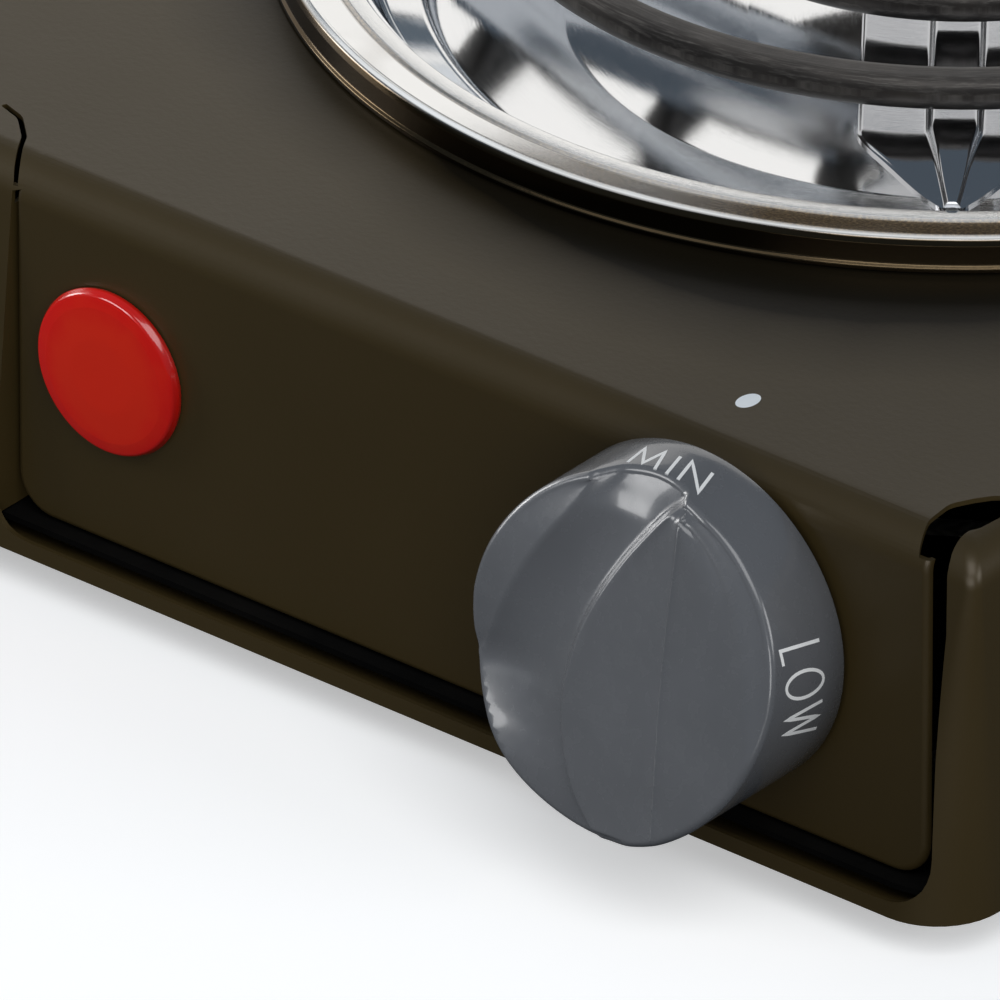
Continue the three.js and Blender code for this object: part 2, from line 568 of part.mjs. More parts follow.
// leaf-shaped grip: a curved left edge from tip to foot, the right edge along the barrel
const gripLeft = [
  [0.9, -25.2], [-1.2, -23.6], [-4.1, -20.3], [-6.4, -15.6], [-7.5, -11], [-8.2, -6.6], [-7.9, -2.3], [-6.9, 3],
  [-4.8, 8.6], [-1.5, 14.9], [2, 20.2], [4.2, 23.2], [6.2, 24.8],
];
const gripOutline = [...gripLeft, ...arc(0, 0, KNOB_R - 1.6, 74, -86, 18)].reverse();
const gripBar = toSolid(plate(gripOutline, KNOB_REACH - 12).rotateX(Math.PI / 2)
  .translate(KNOB_X, FRONT_Y - 12, KNOB_Z));
knob = knob.add(behindFace(gripBar.subtract(behindFace(gripBar, KNOB_FACE - 1)), KNOB_FACE + KNOB_GRIP_RISE));
knob = knob.subtract(toSolid(dBar(SPINDLE_R + GAP, SPINDLE_R - 1 + GAP, spindleFront - 0.6, knobRear + 1)));
addPart('knob', knob, greyPlastic);

const clipOutline = [
  ...arc(0, 0, 8.1, 120, 420, 20), ...arc(0, 0, 7.3, 420, 120, 20),
];
addPart(
  'knob_clip', plate(clipOutline, 3.4).rotateX(Math.PI / 2).translate(KNOB_X, knobRear - 6, KNOB_Z), steel);

// ---------- pilot lamp ----------
const lensProfile = [
  [0, 3.2], [6, 3.0], [10.4, 2.4], [12.8, 1.5], [LAMP_R, 0.3], [10.2, 0.3], [10.2, -6], [8.8, -6],
  [8.8, 0.6], [6, 1.4], [0, 1.6],
];
addPart('pilot_lens', turnedForward(lensProfile, LAMP_X, FRONT_Y, LAMP_Z, 20), redLens);
const lampHolderProfile = [
  [0, -24], [7, -24], [7, -7.5], [8.3, -7.5], [8.3, -3], [6.6, -3], [6.6, -9], [5, -9], [5, -22], [0, -22],
];
addPart('lamp_holder', turnedForward(lampHolderProfile, LAMP_X, FRONT_Y, LAMP_Z, 16), bakelite);
addPart('lamp_bulb', turnedForward(
  [[0, -21.4], [3, -21.4], [3, -5], [2, -3.4], [0, -2.8]], LAMP_X, FRONT_Y, LAMP_Z, 12), glass);
addPart('lamp_clip', turnedForward(
  [[10.5, -2.4], [13, -2.4], [13, -1.4], [10.5, -1.4]], LAMP_X, FRONT_Y, LAMP_Z, 24), steel);

// ---------- mains entry and internal leads ----------
addPart('cord_bushing', turned([
  [3.8, -4.6], [8, -4.6], [8, -1.4], [5.9, -1.4], [5.9, 0.3], [8.6, 0.3], [8.2, 3.4], [3.8, 3.4],
], 20).rotateX(-Math.PI / 2).translate(BUSH_X, REAR_Y, BUSH_Z), rubber);
let connector = toSolid(box(44, 80, 76, 92, PLATE_Z + 1.3, PLATE_Z + 13));
for (let k = 0; k < 3; k += 1) {
  connector = connector.subtract(toSolid(bar(2, 50 + k * 12, PLATE_Z + 7, 70, 98, 12)));
}
addPart('mains_connector', connector, ceramic);
addPart('earth_screw', turned([
  [0, PLATE_Z - 1.8], [3.2, PLATE_Z - 1.8], [3.4, PLATE_Z - GAP], [1.7, PLATE_Z - GAP],
  [1.7, PLATE_Z + 4], [0, PLATE_Z + 4.2],
], 16).translate(EARTH_SPOT[0], EARTH_SPOT[1], 0), brass);

function lead(name, points, material) {
  const curve = new THREE.CatmullRomCurve3(points.map((p) => new THREE.Vector3(...p)));
  const section = new THREE.Shape(arc(0, 0, 1.3, 0, 300, 5).map(([x, y]) => new THREE.Vector2(x, y)));
  const geometry = new THREE.ExtrudeGeometry(section, { steps: 16, bevelEnabled: false, extrudePath: curve });
  addPart(name, geometry, material);
}
const tabEnd = thermostatFront + 34;
const low = FOOT_DROP + 2.9 + 7;
const screwOne = terminalPoint(115, -LEG_OFFSET, DECK_Z - 21.5);
const screwTwo = terminalPoint(115, LEG_OFFSET, DECK_Z - 21.5);
lead('lead_thermostat_to_coil', [
  [KNOB_X - 8, tabEnd, KNOB_Z], [KNOB_X - 9, tabEnd + 9, KNOB_Z - 4], [44, -70, 33], [0, -20, 31], [-40, 50, 31],
  [screwTwo.x + 4, screwTwo.y - 4, screwTwo.z - 10], [screwTwo.x, screwTwo.y, screwTwo.z]], sleeve);
lead('lead_coil_to_mains', [
  [screwOne.x, screwOne.y, screwOne.z], [screwOne.x + 4, screwOne.y + 1, screwOne.z - 10], [-30, 96, 24],
  [20, 104, low], [48, 104, low - 1], [50, 94, PLATE_Z + 7]], sleeve);
lead('lead_mains_to_thermostat', [
  [KNOB_X + 8, tabEnd, KNOB_Z], [KNOB_X + 9, tabEnd + 9, KNOB_Z - 4], [98, -70, 32], [98, 0, 26],
  [70, 40, low + 4],
  [62, 66, PLATE_Z + 8], [62, 74, PLATE_Z + 7]], sleeve);
lead('lead_lamp_live', [
  [LAMP_X + 4, FRONT_Y + 25, LAMP_Z], [LAMP_X + 4, FRONT_Y + 34, LAMP_Z - 3], [-28, -92, 28], [0, -84, 24],
  [40, -88, 26], [58, -98, KNOB_Z - 12], [60, -104, KNOB_Z - 6]], sleeve);
lead('lead_lamp_neutral', [
  [LAMP_X - 4, FRONT_Y + 25, LAMP_Z], [LAMP_X - 5, FRONT_Y + 34, LAMP_Z - 4], [-50, -50, 17], [-10, 20, 16],
  [36, 56, low], [50, 66, PLATE_Z + 7], [50, 74, PLATE_Z + 7]], sleeve);
lead('lead_earth', [
  [74, 74, PLATE_Z + 7], [75, 66, PLATE_Z + 7.5], [84, 56, PLATE_Z + 8], [91, 46, PLATE_Z + 7.5],
  [EARTH_SPOT[0], EARTH_SPOT[1] + 1, PLATE_Z + 6]], earthSleeve);

export default model;
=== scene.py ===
import math

import bmesh
import bpy
from mathutils import Matrix, Vector


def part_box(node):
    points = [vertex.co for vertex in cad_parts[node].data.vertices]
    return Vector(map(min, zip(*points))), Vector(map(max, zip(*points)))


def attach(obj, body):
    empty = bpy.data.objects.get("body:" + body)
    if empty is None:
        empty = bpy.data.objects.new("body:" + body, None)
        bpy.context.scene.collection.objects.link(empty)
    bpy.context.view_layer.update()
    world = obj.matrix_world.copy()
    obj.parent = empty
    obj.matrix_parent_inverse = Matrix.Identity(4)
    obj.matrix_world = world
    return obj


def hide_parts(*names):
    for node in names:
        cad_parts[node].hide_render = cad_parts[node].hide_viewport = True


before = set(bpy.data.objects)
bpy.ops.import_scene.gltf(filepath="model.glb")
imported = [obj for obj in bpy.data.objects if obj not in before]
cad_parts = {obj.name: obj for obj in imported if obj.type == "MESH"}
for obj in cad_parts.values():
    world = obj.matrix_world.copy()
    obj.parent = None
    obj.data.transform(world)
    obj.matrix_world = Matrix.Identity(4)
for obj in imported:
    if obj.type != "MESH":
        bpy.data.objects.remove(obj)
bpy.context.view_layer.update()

MM = 0.001

# ---------- where the frame is: shapes are in mm from the ring's centre at deck level ----------
ring_low, ring_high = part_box("trim_ring")
housing_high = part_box("housing")[1]
CENTRE = Vector(((ring_low.x + ring_high.x) / 2, (ring_low.y + ring_high.y) / 2, housing_high.z))
TO_FRAME = Matrix.Translation(CENTRE) @ Matrix.Scale(MM, 4)


def local(point):
    """A point of the frame, in mm from the ring's centre at deck level."""
    return (Vector(point) - CENTRE) / MM


def middle_of(node):
    """The middle of a CAD node's box."""
    low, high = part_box(node)
    return local((low + high) / 2)


HALF_WIDTH = local(housing_high).x
REAR_Y = local(housing_high).y
KNOB_X, _, KNOB_Z = middle_of("knob")
LAMP_X, _, LAMP_Z = middle_of("pilot_lens")
BUSH = middle_of("cord_bushing")
PLATE_Z = local(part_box("base_plate")[0]).z
TABLE_Z = local((0, 0, 0)).z
SCREW_SPOTS = [middle_of(f"base_screw_{number}").xy for number in range(1, 5)]

# ---------- driving dimensions of the housing, in mm ----------
BODY_HEIGHT = 62.3
FRONT_Y = -145.0
FRONT_FLARE = 5.3
SHEET = 0.8
FLANGE = 7.8
LIP = 2.6
BEND_R = 6.0
CORNER_TOP_R = 2.2
CORNER_RIM_R = 11.5
DECK_HOLE_R = 97.0
FLAP_LEFT = -62.8
FLAP_RIGHT = 111.0
FLAP_FOOT = -58.0
FLAP_CORNER_R = 6.5
CURL_R = 1.2
WINDOW_FOOT = -59.8
WINDOW_GAP_LEFT = 0.7
RELIEF_DEPTH = 3.8
TERMINAL_ANGLE = math.radians(128)


# ---------- mesh helpers ----------
def new_object(name, mesh):
    """An object in the scene that shows a mesh, light or camera."""
    obj = bpy.data.objects.new(name, mesh)
    bpy.context.scene.collection.objects.link(obj)
    return obj


def mesh_from(name, points, faces):
    """An object from points and faces, its faces turned outwards."""
    mesh = bpy.data.meshes.new(name)
    mesh.from_pydata([tuple(p) for p in points], [], faces)
    work = bmesh.new()
    work.from_mesh(mesh)
    bmesh.ops.remove_doubles(work, verts=work.verts, dist=1e-5)
    bmesh.ops.recalc_face_normals(work, faces=work.faces)
    work.to_mesh(mesh)
    work.free()
    return new_object(name, mesh)


def add_row(points, row):
    """Adds a row to the points and gives back the numbers it has there."""
    start = len(points)
    points.extend(row)
    return list(range(start, len(points)))


def band(a, b):
    """Quads between two rows of point numbers."""
    return [(a[k], a[k + 1], b[k + 1], b[k]) for k in range(len(a) - 1)]


def tube(rows):
    """Quads between rows that each close on themselves."""
    return [quad for a, b in zip(rows, rows[1:]) for quad in band(a + a[:1], b + b[:1])]


def loft(name, rings, closed=False):
    """Quads between rings of equal length; closed joins the last ring to the first."""
    points = []
    rows = [add_row(points, ring) for ring in rings]
    ends = [] if closed else [tuple(rows[0]), tuple(rows[-1])]
    return mesh_from(name, points, tube(rows + rows[:1] if closed else rows) + ends)


def fillet(points, radius, steps=4, closed=True):
    """The same polyline with its corners rounded; a third value on a point is its own radius."""
    out = []
    count = len(points)
    for i, p in enumerate(points):
        if not closed and i in (0, count - 1):
            out.append((p[0], p[1]))
            continue
        here = Vector(p[:2])
        back = Vector(points[i - 1][:2]) - here
        ahead = Vector(points[(i + 1) % count][:2]) - here
        r = p[2] if len(p) > 2 else radius
        angle = back.angle(ahead)
        if r <= 0 or angle > math.pi - 0.02:
            out.append((here.x, here.y))
            continue
        reach = min(r / math.tan(angle / 2), 0.48 * back.length, 0.48 * ahead.length)
        back.normalize()
        ahead.normalize()
        for k in range(steps + 1):
            s = k / steps
            q = here + back * reach * (1 - s) ** 2 + ahead * reach * s ** 2
            out.append((q.x, q.y))
    return out


def lathe(name, profile, segments=96, turn=None):
    """A body of revolution about Z from a profile of (radius, height), closed on itself or on the axis."""
    on_axis = profile[0][0] < 1e-6
    angles = [2 * math.pi * k / segments for k in range(segments)]
    points, faces, rows = [], [], []
    for r, z in profile:
        if r < 1e-6:
            rows.append(add_row(points, [(0, 0, z)]) * segments)
        else:
            rows.append(add_row(points, [(r * math.cos(a), r * math.sin(a), z) for a in angles]))
    for i in range(len(rows) - 1 if on_axis else len(rows)):
        a, b = rows[i], rows[(i + 1) % len(rows)]
        for k in range(segments):
            m = (k + 1) % segments
            face = tuple(dict.fromkeys((a[k], a[m], b[m], b[k])))
            if len(face) > 2:
                faces.append(face)
    obj = mesh_from(name, points, faces)
    if turn:
        obj.data.transform(turn)
    return obj


def prism(name, outline, low, high, axis="z"):
    """An outline extruded between two heights; axis y takes (x, z) pairs."""
    def lift(p, h):
        return (p[0], h, p[1]) if axis == "y" else (p[0], p[1], h)
    return loft(name, [[lift(p, low) for p in outline], [lift(p, high) for p in outline]])


def arc(cx, cy, r, start, end, steps):
    """Points round part of a circle, its angles in degrees."""
    out = []
    for k in range(steps + 1):
        a = math.radians(start + (end - start) * k / steps)
        out.append((cx + r * math.cos(a), cy + r * math.sin(a)))
    return out


def slot_outline(x0, x1, y0, y1):
    """A slot with round ends along y."""
    r = (x1 - x0) / 2
    x = (x0 + x1) / 2
    return arc(x, y1 - r, r, 0, 180, 8) + arc(x, y0 + r, r, 180, 360, 8)


def boolean(target, cutters, operation="DIFFERENCE"):
    """Cuts the other bodies from the target, or joins them to it, and removes them."""
    for cutter in cutters:
        modifier = target.modifiers.new("cut", "BOOLEAN")
        modifier.operation = operation
        modifier.solver = "MANIFOLD"
        modifier.object = cutter
    apply_modifiers(target)
    for cutter in cutters:
        bpy.data.objects.remove(cutter)


def apply_modifiers(obj):
    """Replaces an object's mesh with the one its modifiers give."""
    graph = bpy.context.evaluated_depsgraph_get()
    mesh = bpy.data.meshes.new_from_object(obj.evaluated_get(graph))
    obj.modifiers.clear()
    obj.data = mesh


def place(obj, material, body, nodes=(), angle=35, weighted=False):
    """Moves a mesh built in mm to its place in the frame, shades it and ties it to its CAD body."""
    obj.data.transform(TO_FRAME)
    for polygon in obj.data.polygons:
        polygon.use_smooth = True
    obj.data.set_sharp_from_angle(angle=math.radians(angle))
    if weighted:
        modifier = obj.modifiers.new("normals", "WEIGHTED_NORMAL")
        modifier.keep_sharp = True
        modifier.weight = 80
    obj.data.materials.clear()
    obj.data.materials.append(material)
    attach(obj, body)
    if nodes:
        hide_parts(*nodes)
    return obj


# ---------- materials ----------
class Shader:
    """A node material that is written down as short expressions."""

    def __init__(self, name, base=(0.5, 0.5, 0.5), roughness=0.5, metallic=0.0, **sockets):
        self.material = bpy.data.materials.new(name)
        self.material.use_nodes = True
        self.tree = self.material.node_tree
        self.bsdf = self.tree.nodes["Principled BSDF"]
        self.feed((*base, 1), "Base Color")
        self.feed(roughness, "Roughness")
        self.feed(metallic, "Metallic")
        for key, value in sockets.items():
            self.feed(value, key.replace("_", " "))

    def give(self, value, socket):
        """Links what another node gives, or sets a plain value."""
        if isinstance(value, bpy.types.NodeSocket):
            self.tree.links.new(value, socket)
        elif value is not None:
            socket.default_value = value

    def feed(self, value, socket):
        """Gives the surface's own node a value."""
        self.give(value, self.bsdf.inputs[socket])

    def node(self, kind, **inputs):
        made = self.tree.nodes.new(kind)
        for key, value in inputs.items():
            self.give(value, made.inputs[key.replace("_", " ")])
        return made

    def position(self):
        """Object coordinates; every object keeps its origin at the frame's own."""
        return self.node("ShaderNodeTexCoord").outputs["Object"]

    def math(self, operation, a, b=None):
        made = self.tree.nodes.new("ShaderNodeMath")
        made.operation = operation
        self.give(a, made.inputs[0])
        self.give(b, made.inputs[1])
        return made.outputs[0]

    def noise(self, scale, detail=3.0, rough=0.5, where=None):
        """Noise with about scale features a metre."""
        return self.node("ShaderNodeTexNoise", Vector=where or self.position(), Scale=scale,
                         Detail=detail, Roughness=rough).outputs["Fac"]

    def ramp(self, value, low, high, to_low=0.0, to_high=1.0):
        """Takes low to high onto to_low to to_high, and holds at both ends."""
        return self.node("ShaderNodeMapRange", Value=value, From_Min=low, From_Max=high,
                         To_Min=to_low, To_Max=to_high).outputs["Result"]

    def mix(self, factor, a, b):
        made = self.tree.nodes.new("ShaderNodeMix")
        made.data_type = "RGBA"
        self.give(factor, made.inputs[0])
        for value, socket in ((a, made.inputs[6]), (b, made.inputs[7])):
            self.give((*value, 1) if isinstance(value, tuple) else value, socket)
        return made.outputs[2]

    def bump(self, height, distance, strength=1.0, over=None):
        made = self.node("ShaderNodeBump", Height=height, Distance=distance, Strength=strength)
        self.give(over, made.inputs["Normal"])
        return made.outputs["Normal"]

    def polar(self):
        """(distance from the ring's axis, angle about it) as two values, in metres and radians."""
        split = self.node("ShaderNodeSeparateXYZ", Vector=self.position())
        x = self.math("SUBTRACT", split.outputs["X"], CENTRE.x)
        y = self.math("SUBTRACT", split.outputs["Y"], CENTRE.y)
        square = self.math("ADD", self.math("MULTIPLY", x, x), self.math("MULTIPLY", y, y))
        return self.math("SQRT", square), self.math("ARCTAN2", y, x)

    def along_rings(self, across, along):
        """Coordinates for scratches that run round the ring's axis."""
        r, a = self.polar()
        return self.node("ShaderNodeCombineXYZ", X=self.math("MULTIPLY", r, across),
                         Y=self.math("MULTIPLY", a, along)).outputs["Vector"]


def enamel_material():
    """Satin brown-black stove enamel, with painted shade: darker and duller beside the trim ring, where the
    ring's shadow is painted, and towards the front right, where less light falls.
    """
    s = Shader("enamel_brown", roughness=0.38, Specular_Tint=(1.0, 0.91, 0.79, 1))
    cloud = s.noise(12, 2)
    fleck = s.noise(2600, 2, 0.7)
    r, angle = s.polar()
    near = s.math("ADD", r, s.ramp(s.noise(45, 2), 0.3, 0.7, -0.0012, 0.0012))
    # painted shade: the first mask is 1 towards the front right corner, where less light falls; the second
    # falls to 0 beside the ring, a painted shadow of the ring on the deck
    front_right_shade = s.math("MINIMUM", s.ramp(angle, -1.75, -1.15), s.ramp(angle, -0.15, -0.6))
    near = s.math("SUBTRACT", near, s.math("MULTIPLY", front_right_shade, 0.015))
    unshaded = s.math("POWER", s.ramp(near, 0.1040, 0.1220), 0.6)
    unshaded = s.math("MULTIPLY", unshaded, s.ramp(front_right_shade, 0, 1, 1.0, 0.70))
    tone = s.mix(s.ramp(cloud, 0.3, 0.7), (0.0420, 0.0285, 0.0088), (0.0490, 0.0332, 0.0106))
    tone = s.mix(s.ramp(fleck, 0.62, 0.8, 0, 0.25), tone, (0.05, 0.04, 0.027))
    # the painted shade darkens the colour and takes down the sheen
    s.feed(s.mix(unshaded, (0.007, 0.0055, 0.003), tone), "Base Color")
    s.feed(s.ramp(unshaded, 0, 1, 0.14, 0.62), "Specular IOR Level")
    s.feed(s.ramp(s.noise(35, 2), 0.3, 0.7, 0.36, 0.40), "Roughness")
    peel = s.bump(s.noise(900, 2), 0.00004, 0.45)
    s.feed(s.bump(s.noise(3200, 2), 0.00001, 0.35, peel), "Normal")
    return s.material


def chrome_material(name, tint, rough, scratches):
    """Polished plating with fine lines round the ring's axis and a slight waviness."""
    s = Shader(name, tint, metallic=1.0)
    rings = s.along_rings(5200, 9)
    lines = s.noise(1, 4, 0.65, rings)
    s.feed(s.ramp(lines, 0.35, 0.7, *rough), "Roughness")
    s.feed(s.bump(lines, 0.000012, scratches, s.bump(s.noise(60, 1), 0.0004, 0.03)), "Normal")
    return s.material


def trim_ring_material():
    """Polished steel, heat tinted and scratched on part of its sloping band; its outer wall is painted dark,
    a painted reflection of the dark deck.
    """
    s = Shader("trim_ring_steel", metallic=1.0)
    r, angle = s.polar()
    lines = s.noise(1, 5, 0.7, s.along_rings(9000, 14))
    flecks = s.noise(1, 4, 0.7, s.along_rings(2600, 160))
    band = s.math("MULTIPLY", s.ramp(r, 0.0966, 0.0974), s.ramp(r, 0.1032, 0.1024))
    front = s.math("MULTIPLY", s.ramp(angle, -1.52, -1.18), s.ramp(angle, 0.4, -0.1))
    patch = s.math("MAXIMUM", front, s.ramp(s.noise(19, 3), 0.5, 0.68, 0.0, 0.8))
    tint = s.mix(s.ramp(flecks, 0.42, 0.66), (0.060, 0.036, 0.014), (0.34, 0.24, 0.12))
    seam = s.math("MULTIPLY", s.ramp(r, 0.0966, 0.0969), s.ramp(r, 0.0978, 0.0974))
    stain = s.math("MAXIMUM", s.math("MULTIPLY", band, patch), s.math("MULTIPLY", seam, 0.55))
    base = s.mix(stain, (0.88, 0.88, 0.87), tint)
    # painted reflection: the outer wall's colour is dark, standing in for the dark deck it reflects
    s.feed(s.mix(s.ramp(r, 0.1031, 0.1035), base, (0.075, 0.054, 0.030)), "Base Color")
    polish = s.ramp(lines, 0.3, 0.75, 0.05, 0.16)
    s.feed(s.math("ADD", polish, s.math("MULTIPLY", stain, 0.2)), "Roughness")
    s.feed(s.bump(s.math("ADD", lines, flecks), 0.00003, 0.3), "Normal")
    return s.material


def coil_material():
    """Scaled, dark metal sheath with lighter streaks along the tube."""
    s = Shader("coil_sheath", metallic=0.55, Specular_IOR_Level=0.5)
    grain = s.noise(1, 4, 0.7, s.along_rings(4200, 12))
    patch = s.noise(90, 3)
    dark = s.mix(s.ramp(patch, 0.3, 0.7), (0.024, 0.021, 0.019), (0.048, 0.042, 0.037))
    s.feed(s.mix(s.ramp(grain, 0.48, 0.7, 0, 0.7), dark, (0.13, 0.12, 0.11)), "Base Color")
    s.feed(s.ramp(grain, 0.3, 0.7, 0.34, 0.55), "Roughness")
    s.feed(s.bump(grain, 0.00005, 0.5, s.bump(s.noise(1900, 3, 0.7), 0.00003, 0.5)), "Normal")
    return s.material


def moulded_material(name, low, high, roughness, level=0.5, coat=0.0):
    """Plastic, rubber, paint or ceramic: two close tones and a fine texture."""
    s = Shader(name, low, Specular_IOR_Level=level, Coat_Weight=coat, Coat_Roughness=0.08)
    s.feed(s.mix(s.ramp(s.noise(70, 3), 0.35, 0.65), low, high), "Base Color")
    s.feed(s.ramp(s.noise(420, 3), 0.3, 0.7, roughness * 0.85, roughness * 1.15), "Roughness")
    s.feed(s.bump(s.noise(900, 3), 0.00002, 0.25), "Normal")
    return s.material


def metal_material(name, low, high, roughness, scale=300.0):
    """Plain plated or bare metal, clouded between two tones."""
    s = Shader(name, low, metallic=1.0)
    s.feed(s.mix(s.ramp(s.noise(scale, 4, 0.7), 0.35, 0.65), low, high), "Base Color")
    s.feed(s.ramp(s.noise(scale * 1.7, 3), 0.3, 0.7, roughness * 0.75, roughness * 1.25), "Roughness")
    s.feed(s.bump(s.noise(scale * 5, 3), 0.00002, 0.4), "Normal")
    return s.material


def lens_material():
    """Glossy red plastic, cloudy, and a little lighter in the middle, a painted pool of light."""
    s = Shader("lamp_red", Coat_Weight=0.6, Coat_Roughness=0.05, Specular_IOR_Level=0.5)
    split = s.node("ShaderNodeSeparateXYZ", Vector=s.position())
    x = s.math("SUBTRACT", split.outputs["X"], CENTRE.x + LAMP_X * MM)
    z = s.math("SUBTRACT", split.outputs["Z"], CENTRE.z + LAMP_Z * MM)
    r = s.math("SQRT", s.math("ADD", s.math("MULTIPLY", x, x), s.math("MULTIPLY", z, z)))
    cloud = s.ramp(s.noise(150, 4, 0.6), 0.3, 0.7, -0.0016, 0.0016)
    # painted light: the middle is lighter than the rim, as if lit there
    edge = s.ramp(s.math("ADD", r, cloud), 0.0085, 0.0125)
    s.feed(s.mix(edge, (0.66, 0.020, 0.005), (0.64, 0.008, 0.004)), "Base Color")
    s.feed(s.ramp(s.noise(500, 2), 0.3, 0.7, 0.12, 0.2), "Roughness")
    s.feed(s.bump(s.noise(700, 2), 0.00002, 0.2), "Normal")
    return s.material


def woven_material(name, low, high):
    """Braided glass sleeve on a lead."""
    s = Shader(name, low, 0.8)
    weave = s.node("ShaderNodeTexWave", Vector=s.position(), Scale=420.0, Distortion=1.5)
    s.feed(s.mix(weave.outputs["Fac"], low, high), "Base Color")
    s.feed(s.bump(weave.outputs["Fac"], 0.0001, 0.6), "Normal")
    return s.material


ENAMEL = enamel_material()
CHROME = chrome_material("chrome_bowl", (0.87, 0.875, 0.88), (0.03, 0.09), 0.3)
ARM_CHROME = chrome_material("chrome_arm", (0.50, 0.51, 0.53), (0.06, 0.16), 0.5)
RING_STEEL = trim_ring_material()
SHEATH = coil_material()
ZINC = metal_material("zinc_plate", (0.42, 0.43, 0.44), (0.56, 0.57, 0.57), 0.34, 260.0)
DULL_STEEL = metal_material("dull_steel", (0.22, 0.22, 0.22), (0.34, 0.34, 0.33), 0.42)
BRASS = metal_material("brass", (0.55, 0.36, 0.13), (0.66, 0.46, 0.19), 0.3)
GREY_PLASTIC = moulded_material("knob_grey", (0.096, 0.100, 0.108), (0.104, 0.108, 0.117), 0.26, 0.5, 0.5)
DIAL_WHITE = moulded_material("dial_white", (0.90, 0.90, 0.89), (0.95, 0.95, 0.94), 0.4)
INDEX_WHITE = moulded_material("index_white", (0.78, 0.83, 0.87), (0.86, 0.90, 0.93), 0.4)
LENS_RED = lens_material()
RUBBER = moulded_material("rubber_black", (0.012, 0.012, 0.012), (0.022, 0.021, 0.020), 0.75, 0.3)
CERAMIC = moulded_material("ceramic_cream", (0.66, 0.61, 0.50), (0.76, 0.72, 0.62), 0.5)
BAKELITE = moulded_material("bakelite_brown", (0.022, 0.014, 0.010), (0.035, 0.023, 0.016), 0.38)
# the base plate's black paint also stands in for the shade seen through the gap under the flap
BLACK_PAINT = moulded_material("black_paint", (0.004, 0.004, 0.004), (0.007, 0.0065, 0.006), 0.8, 0.02)
BULB = moulded_material("bulb_glass", (0.62, 0.52, 0.44), (0.74, 0.66, 0.58), 0.08)
SLEEVE = woven_material("lead_sleeve", (0.42, 0.38, 0.30), (0.68, 0.65, 0.56))
EARTH_SLEEVE = woven_material("earth_sleeve", (0.06, 0.22, 0.035), (0.55, 0.50, 0.08))


# ---------- housing: deck and walls with a window, and the control flap bent down through it ----------
def wall_ring(z, pull, inset):
    """The housing's outline at one height, pulled in for the bend and set in for the sheet."""
    down = min(1.0, max(0.0, (-BEND_R - z) / (BODY_HEIGHT - BEND_R)))
    corner = CORNER_TOP_R + (CORNER_RIM_R - CORNER_TOP_R) * down
    side = HALF_WIDTH - inset - pull
    front = FRONT_Y - FRONT_FLARE * down + inset + pull
    rear = REAR_Y - inset - pull
    r = max(0.5, corner - 0.5 * inset - 0.2 * pull)
    corners = ((side - r, rear - r, 0), (r - side, rear - r, 90), (r - side, front + r, 180),
               (side - r, front + r, 270))
    return [(x, y, z) for cx, cy, start in corners for x, y in arc(cx, cy, r, start, start + 90, 10)]


def shell_rings(inset):
    """Rings up the wall, round the bend and onto the deck."""
    rings = [wall_ring(-BODY_HEIGHT + (BODY_HEIGHT - BEND_R) * k / 12, 0, inset) for k in range(13)]
    bend = BEND_R - inset
    for k in range(1, 11):
        a = math.pi / 2 * k / 10
        rings.append(wall_ring(-inset - bend + bend * math.sin(a), bend * (1 - math.cos(a)), inset))
    return rings


def shell():
    """The walls and deck of one sheet, with a narrow lipped flange turned in round the rim."""
    outer = shell_rings(0)
    inner = shell_rings(SHEET)[1:]
    section = ((0, FLANGE), (LIP, FLANGE), (LIP, FLANGE - SHEET), (SHEET, FLANGE - SHEET), (SHEET, SHEET))
    rim = [wall_ring(-BODY_HEIGHT + rise, 0, inset) for rise, inset in section]
    return loft("housing_detail", list(reversed(outer)) + rim + inner)


# the window in the front wall, as (x, z)
WINDOW_LEFT = FLAP_LEFT - WINDOW_GAP_LEFT
WINDOW = fillet([(FLAP_LEFT + 1.6, 5, 0), (FLAP_LEFT + 1.6, -3.6, 0), (WINDOW_LEFT, -4.6, 0),
                 (WINDOW_LEFT, WINDOW_FOOT, 7.0), (FLAP_RIGHT + 3.5, WINDOW_FOOT, 8.5),
                 (FLAP_RIGHT + 3.6, -34, 0), (FLAP_RIGHT + 4.1, -14, 6), (FLAP_RIGHT + 3.4, -3.4, 2),
                 (FLAP_RIGHT + 1.6, 5, 0)], 7.5, 8)
# the crescent and the slit at the ends of the bend, as (x from the flap's end, y behind the front)
RELIEF_RIGHT = [(-1.4, -5, 0), (-1.4, -0.6), (-2.4, 1.0), (-3.8, 4.8), (-4.4, 10.4), (-2.6, 13.9),
                (-0.6, 16.8), (2.1, 17.8), (4.3, 16.4), (3.7, 12.7), (3.4, 7.8), (2.4, 5.4), (2.6, 3),
                (3.3, 1, 0), (3.3, -5, 0)]
RELIEF_LEFT = [(0.3, -5, 0), (0.3, 0.2), (-0.9, 2.2), (-2.4, 4.6), (-4.2, 7.8), (-8.6, 12.0), (-13, 13.4),
               (-13.2, 12.4), (-8.9, 11.1), (-4.9, 7.3), (-3.1, 4.2), (-1.6, 1.7), (-0.4, 0.1),
               (-0.4, -5, 0)]


def relief(outline, edge):
    """Cutter for the relief cut at one end of the flap's bend."""
    points = [(edge + x, FRONT_Y + y) for x, y in fillet(outline, 4.0, 8)]
    return prism("relief", points, -RELIEF_DEPTH, 3)


def wall_front(z):
    """Where the leaning front wall is at a height."""
    return FRONT_Y - FRONT_FLARE * (-BEND_R - z) / (BODY_HEIGHT - BEND_R)


def post_return():
    """The turned-in edge of the front wall beside the flap's left end."""
    top, foot, depth = -7, -58, FRONT_Y + 4
    side = [(wall_front(top) + 0.05, top), (wall_front(foot) + 0.05, foot), (depth, foot), (depth, top)]
    return loft("return", [[(x, y, z) for y, z in side] for x in (WINDOW_LEFT - SHEET, WINDOW_LEFT)])


